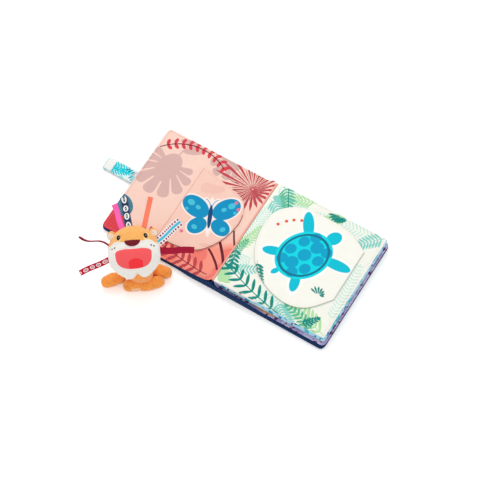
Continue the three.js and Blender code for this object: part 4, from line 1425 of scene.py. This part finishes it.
mouth_line = full_curve(half_width=25.0, level=2.5, drop=20.0, lift=8.0, fullness=0.72)
mouth, x, y = felt_patch("mouth", mouth_line, 1.2)
paint(mouth, "tongue", all_of(np.abs(x - 2.5) - 9.8, y + 2.2 + 0.045 * (x - 2.5) ** 2))
give(mouth, cloth("mouth_felt_cloth", (255, 94, 98), [("tongue", (255, 52, 62), 1.0)],
                  thread=0.5, crease=0.2))

nose_line = full_curve(half_width=10.9, level=20.6, drop=6.8, lift=1.2, fullness=1.0)
nose, *_ = felt_patch("nose", nose_line, 2.0, 3.0)
give(nose, cloth("nose_felt_cloth", (112, 8, 28), thread=0.5, crease=0.1, roughness=0.7, sheen=0.0))

print("mouth and nose:", len(mouth.data.polygons), "and", len(nose.data.polygons), "faces")

# %% Eyes, ears and whisker knots
EAR_HALF, EAR_ANGLE = np.array([6.5, 7.0, 3.5]), np.radians(49)
SIDES = ((-1, "left"), (1, "right"))

# The glint is a painted highlight: a small white spot on the dark satin stitch.
eye_thread = cloth("eye_satin_stitch", (26, 3, 0), [("glint", (250, 250, 250), 0.25)], thread=0.3, crease=0.0,
                   roughness=0.5, sheen=0.0)
ear_plush = plush("ear_plush", ORANGE, [("inner_ear", (250, 240, 228), 0.6)])
for side, word in SIDES:
    centre = np.array([side * EYE_SPREAD, EYE_RISE, face_surface(side * EYE_SPREAD, EYE_RISE) - 0.4])
    points, faces = stuffed(EYE_RADIUS * np.array([1.07, 1.6, 0.85]), centre, None, 40, 28, 0.0)
    eye = make_piece(f"lion_{word}_eye_stitch", to_table(points), faces, "eye_thread", "lion",
                     [f"lion_{word}_eye"], [eye_thread])
    # Painted highlight: the glint spot sits up and to the right of the eye's middle.
    paint(eye, "glint", np.hypot(points[:, 0] - centre[0] - 0.8, points[:, 1] - centre[1] - 1.5) - 0.5)


def ear_shape(points):
    """A hollow in the front of the ear"""
    x, y, z = points.T
    return -1.6 * np.exp(-(x ** 2 + y ** 2) / 18) * (z > 0)


for side, word in SIDES:
    points, faces = stuffed(EAR_HALF, (0, HEAD_HALF[1] + EAR_HALF[1] * 0.1, 0), ear_shape, 64, 40, 0.15)
    inner = all_of(oval(points[:, :2], (side * 0.9, HEAD_HALF[1] + 1.0), 4.8, 5.4), -points[:, 2] * 3)
    ear = make_piece(f"lion_{word}_ear_plush", to_table(points @ about_z(-side * EAR_ANGLE).T), faces,
                     "orange_plush", "lion", [f"lion_{word}_ear"], [ear_plush], PLUSH_FILL)
    paint(ear, "inner_ear", inner)

across, up = np.array([(side * across, up) for side in (-1, 1) for across, up in ((25, 11.5), (28.5, 9.5))]).T
knot, faces = stuffed((1.25, 1.25, 0.7), (0, 0, 0), None, 10, 5, 0.0)
points = (rows(across, up, face_surface(across, up) + 0.2)[:, None] + knot).reshape(-1, 3)
starts = np.arange(len(across))[:, None, None] * len(knot)
faces = [(starts + part).reshape(-1, part.shape[1]) for part in faces]
make_piece("lion_whisker_knots", to_table(points), faces, "eye_thread", "lion",
           materials=[thread_material("whisker_thread", (40, 10, 20))])
print("face made")

# %% [markdown]
# ## Body and paws
#
# Body, arms and feet are deeper orange plush. They stand on the table, so the lowest half
# millimetre of each is flat. Three rows of stitches on each paw mark its toes. Each limb could be
# sculpted, but one stuffed form that is made fuller at both ends and turned does for all four.

# %% Body and paws
BODY_HALF = np.array([21.0, 17.0, 28.0])
ARM_HALF, FOOT_HALF = np.array([18.0, 9.5, 9.5]), np.array([19.0, 9.5, 9.5])
TOY_FLAT, TOY_FRONT = 0.5, -COVER_HALF_DEPTH - 0.6
BODY_CENTRE = np.array([-100 + 36 * 0.15, HEAD_CENTRE[1], BODY_HALF[2] - TOY_FLAT])
TOE_ROWS, TOE_LIFT = (-0.36, 0, 0.36), 1.012
# For each limb: half its size, its place beside the body in shares of half the body's size, its turn
# in degrees, and the end that has the toes
LIMBS = [
    ("lion_left_arm", ARM_HALF, (-1.3, -1.45), 50, -1),
    ("lion_right_arm", ARM_HALF, (1.0, 1.15), 20, 1),
    ("lion_left_foot", FOOT_HALF, (0.2, -0.8), 45, -1),
    ("lion_right_foot", FOOT_HALF, (1.0, -0.15), 48, -1),
]


def limb_shape(points, half_length):
    """Fuller towards both ends than an ellipsoid, with a soft crease near the body"""
    along = points[:, 0] / half_length
    fuller = 1.5 * smooth_step((np.abs(along) - 0.35) / 0.5) * (1 - along ** 8)
    return fuller - 0.5 * bump(points[:, 0] - 4, 1.4)


def place_paw(node, points, faces, sole, dots):
    """Plush form that stands on the table, with the distances of its sole and the dots on it"""
    points[:, 2] = np.maximum(points[:, 2], 0.02)
    piece = make_piece(node + "_plush", points, faces, "paw_plush", "lion", [node], [paw_plush], PLUSH_FILL)
    paint(piece, "sole", sole + np.zeros(len(points)))
    paint(piece, "sole_dots", dots + np.zeros(len(points)))


place_paw("lion_body", *stuffed(BODY_HALF, BODY_CENTRE, None, 96, 60, 0.5, 4), NOWHERE, NOWHERE)
toe_lines = []
for number, (node, half, offset, turn, toe_end) in enumerate(LIMBS):
    angle = np.radians(turn)
    reach = np.hypot(half[0] * np.sin(angle), half[1] * np.cos(angle))
    place = BODY_CENTRE[:2] + offset * BODY_HALF[:2]
    place = np.array([place[0], min(place[1], TOY_FRONT - reach), 0])
    level = half[2] - TOY_FLAT
    points, faces = stuffed(half, (0, 0, level), lambda q: limb_shape(q, half[0]), 96, 60, 0.7, 5 + number)
    x, y, z = points.T
    seam_height = 10.6 + 0.06 * x
    sole = np.abs(z - seam_height) - 2.1 if node == "lion_left_foot" else NOWHERE
    sole = all_of(sole + 0 * x, y + 1.5, np.abs(x - 3) - 12)
    dots = np.hypot((x + 100) % 3.4 - 1.7, (z - seam_height) / 2) - 0.6
    place_paw(node, points @ about_z(angle).T + place, faces, sole, np.maximum(dots, sole + 0.3))
    sweep = np.linspace(0.15, 0.85, 12)
    for row in TOE_ROWS:
        out = TOE_LIFT * np.sqrt(1 - row ** 2)
        line = rows(toe_end * half[0] * np.cos(sweep) * out, half[1] * row,
                    half[2] * np.sin(sweep) * out + TOE_LIFT * level)
        toe_lines.append(line @ about_z(angle).T + place)
stitch_row("lion_toe_stitches", toe_lines, thread_material("toe_thread", (206, 112, 44)), "paw_plush", "lion",
           length=2.4, pitch=2.6, radius=0.3)
print("body and", len(LIMBS), "paws made")

# %% [markdown]
# ## Ribbon tags
#
# Each tag is a length of ribbon folded double and sewn into the head's seam. It leaves the head at
# one angle and runs off in a slight wave. The surface follows that path out, goes round the fold
# and comes back, so the free end is a soft loop.

# %% Ribbons and their weaves
PALE, LIGHT, DARK_RED, RIBBON_RED = (246, 244, 240), (250, 240, 240), (150, 6, 48), (196, 14, 52)
# For each ribbon: where on the rim it starts, which way it runs and how far it leans back, in degrees;
# its length and width in shares of the usual ones; whether it stands on edge; its slot and colour
RIBBONS = {
    "ribbon_thin_burgundy": (161, 161, 12, 0.88, 0.78, True, "burgundy_ribbon", (160, 10, 50)),
    "ribbon_red": (192, 202, 7, 0.94, 0.89, False, "red_ribbon", RIBBON_RED),
    "ribbon_pink": (112, 108, 49, 0.9, 0.89, False, "pink_ribbon", (252, 100, 180)),
    "ribbon_navy": (96, 99, 48, 1.02, 1.17, False, "navy_cloth", (30, 50, 84)),
    "ribbon_orange": (62, 71, 49, 1.1, 0.78, False, "orange_ribbon", (254, 126, 96)),
    "ribbon_white": (18, 28, 46, 1.06, 1.5, False, "white_ribbon", (250, 246, 246)),
    "ribbon_burgundy": (358, 351, 18, 1, 1, False, "burgundy_ribbon", (172, 8, 52)),
}


def ribbon_pattern(name, tint, across, along, width):
    """Colours and distances for one ribbon's woven pattern, which repeats along it"""
    off = np.abs(across)

    def rings(pitch, *halves, x=across, middle=0):
        """Ovals one in another, once in every pitch along the ribbon"""
        p = rows(x, along % pitch - pitch / 2)
        return [oval(p, (middle, 0), *half) for half in halves]

    if name == "ribbon_navy":
        outer, inner, core = rings(16.0, (3.6, 6.2), (1.5, 4.2), (0.55, 1.7))
        return [(PALE, outer), ((20, 32, 58), inner), (PALE, core),
                ((120, 150, 180), np.abs(off - width / 2 + 0.8) - 0.16)]
    if name == "ribbon_red":
        outer, inner, core = rings(10.6, (2.5, 3.9), (1.5, 2.5), (0.7, 1.0))
        return [(LIGHT, outer), (RIBBON_RED, inner), (LIGHT, core)]
    if name == "ribbon_white":
        return [((70, 196, 226), off - 1.8), ((240, 180, 196), np.abs(off - 2.7) - 0.22),
                (DARK_RED, *rings(5.4, (1.4, 1.7), x=off, middle=width * 0.33))]
    return [(tuple(int(0.86 * part) for part in tint), np.abs(off - width / 2 + 0.5) - 0.18)]


print(len(RIBBONS), "ribbons")

# %% Ribbon tags
RIBBON_LENGTH, RIBBON_WIDTH, RIBBON_BEND, RIBBON_STAND_OFF, RIBBON_TUCK = 48.0, 9.0, 2.5, 0.9, 1.5
RIBBON_THICKNESS, FOLD_RADIUS, SHEET_WIDTH = 0.28, 0.35, 10

for name, (rim, run, lean, length_share, width_share, edge_on, slot, tint) in RIBBONS.items():
    rim, run, lean = np.radians([rim, run, lean])
    length, width = length_share * RIBBON_LENGTH + RIBBON_TUCK, width_share * RIBBON_WIDTH
    start = np.append((HEAD_HALF[:2] + RIBBON_STAND_OFF - RIBBON_TUCK) * heading(rim), 0)
    along = np.append(heading(run) * np.cos(lean), -np.sin(lean))
    in_plane = np.append(heading(run + np.pi / 2), 0)
    across = np.cross(along, in_plane) if edge_on else in_plane
    steps = np.linspace(0, 1, 49)
    gap = 0.35 + 0.5 * smooth_step((steps - 0.6) / 0.36) * (1 - smooth_step((steps - 0.9) / 0.1))
    bend = RIBBON_BEND * np.sin(2 * np.pi * steps)
    fold = np.linspace(-np.pi / 2, np.pi / 2, 7)[1:-1]
    path = np.concatenate([
        rows(steps * length, bend - gap), [length, bend[-1]] + FOLD_RADIUS * heading(fold),
        rows(steps * length, bend + gap)[::-1],
    ])
    lengths = travelled(path)
    side = np.linspace(-0.5, 0.5, 33) * width
    points = start + path[:, None, :1] * along + path[:, None, 1:] * np.cross(along, across)
    points = (points + side[None, :, None] * across).reshape(-1, 3)
    faces = [quads(numbered((lengths.size, side.size)))]
    ribbon = make_piece(name + "_cloth", to_table(points), faces, slot, "lion", [name])
    solidify = ribbon.modifiers.new("thickness", "SOLIDIFY")
    solidify.thickness, solidify.offset = RIBBON_THICKNESS * MM, 0
    place_across, place_along = rows(side, lengths[:, None]).T
    paint(ribbon, "across", place_across)
    paint(ribbon, "along", place_along)
    layers = []
    for number, (colour, distance) in enumerate(ribbon_pattern(name, tint, place_across, place_along, width)):
        paint(ribbon, f"weave_{number}", distance)
        layers.append((f"weave_{number}", colour, 0.25))
    give(ribbon, cloth(name + "_satin", tint, layers, thread=0.45, thread_depth=0.03, crease=0.0,
                       roughness=0.75, sheen=0.0, grain=("across", "along")))

# %% [markdown]
# ## Floor and light
#
# The book lies on a plain white floor under soft studio light. A white world lights it from all
# sides, and one broad lamp gives the soft shadow at the near edge.

# %% Floor and light
FLOOR_GLOW, FLOOR_REACH, WORLD_STRENGTH = 0.26, 4.0, 0.86
LAMP_PLACE, LAMP_SIZE, LAMP_POWER = (-0.9, 1.1, 1.8), 1.2, 12
FULL_WHITE = (1, 1, 1, 1)

floor_mesh = bpy.data.meshes.new("floor")
corners = [(FLOOR_REACH * a, FLOOR_REACH * b, 0) for a, b in ((-1, -1), (1, -1), (1, 1), (-1, 1))]
floor_mesh.from_pydata(corners, [], [(0, 1, 2, 3)])
floor = bpy.data.objects.new("floor", floor_mesh)
bpy.context.collection.objects.link(floor)
floor_material, tree, shader = start_material("white_floor", 0.95, 0.0, 0.0)
shader.inputs["Base Color"].default_value = FULL_WHITE
shader.inputs["Emission Color"].default_value = FULL_WHITE
seen = add_node(tree, "LightPath").outputs["Is Camera Ray"]
seen_white = add_node(tree, "Math", {0: seen, 1: FLOOR_GLOW}, operation="MULTIPLY").outputs[0]
tree.links.new(seen_white, shader.inputs["Emission Strength"])
give(floor, floor_material)

world = bpy.data.worlds.new("studio")
bpy.context.scene.world = world
world.use_nodes = True
world.node_tree.nodes["Background"].inputs["Color"].default_value = FULL_WHITE
world.node_tree.nodes["Background"].inputs["Strength"].default_value = WORLD_STRENGTH

lamp = bpy.data.lights.new("key_lamp", "AREA")
lamp.shape, lamp.size, lamp.energy = "DISK", LAMP_SIZE, LAMP_POWER
holder = bpy.data.objects.new("key_lamp", lamp)
bpy.context.collection.objects.link(holder)
holder.location = LAMP_PLACE
holder.rotation_euler = Vector(LAMP_PLACE).to_track_quat("Z", "Y").to_euler()
bpy.context.scene.view_settings.view_transform = "Standard"
print("floor and light set")
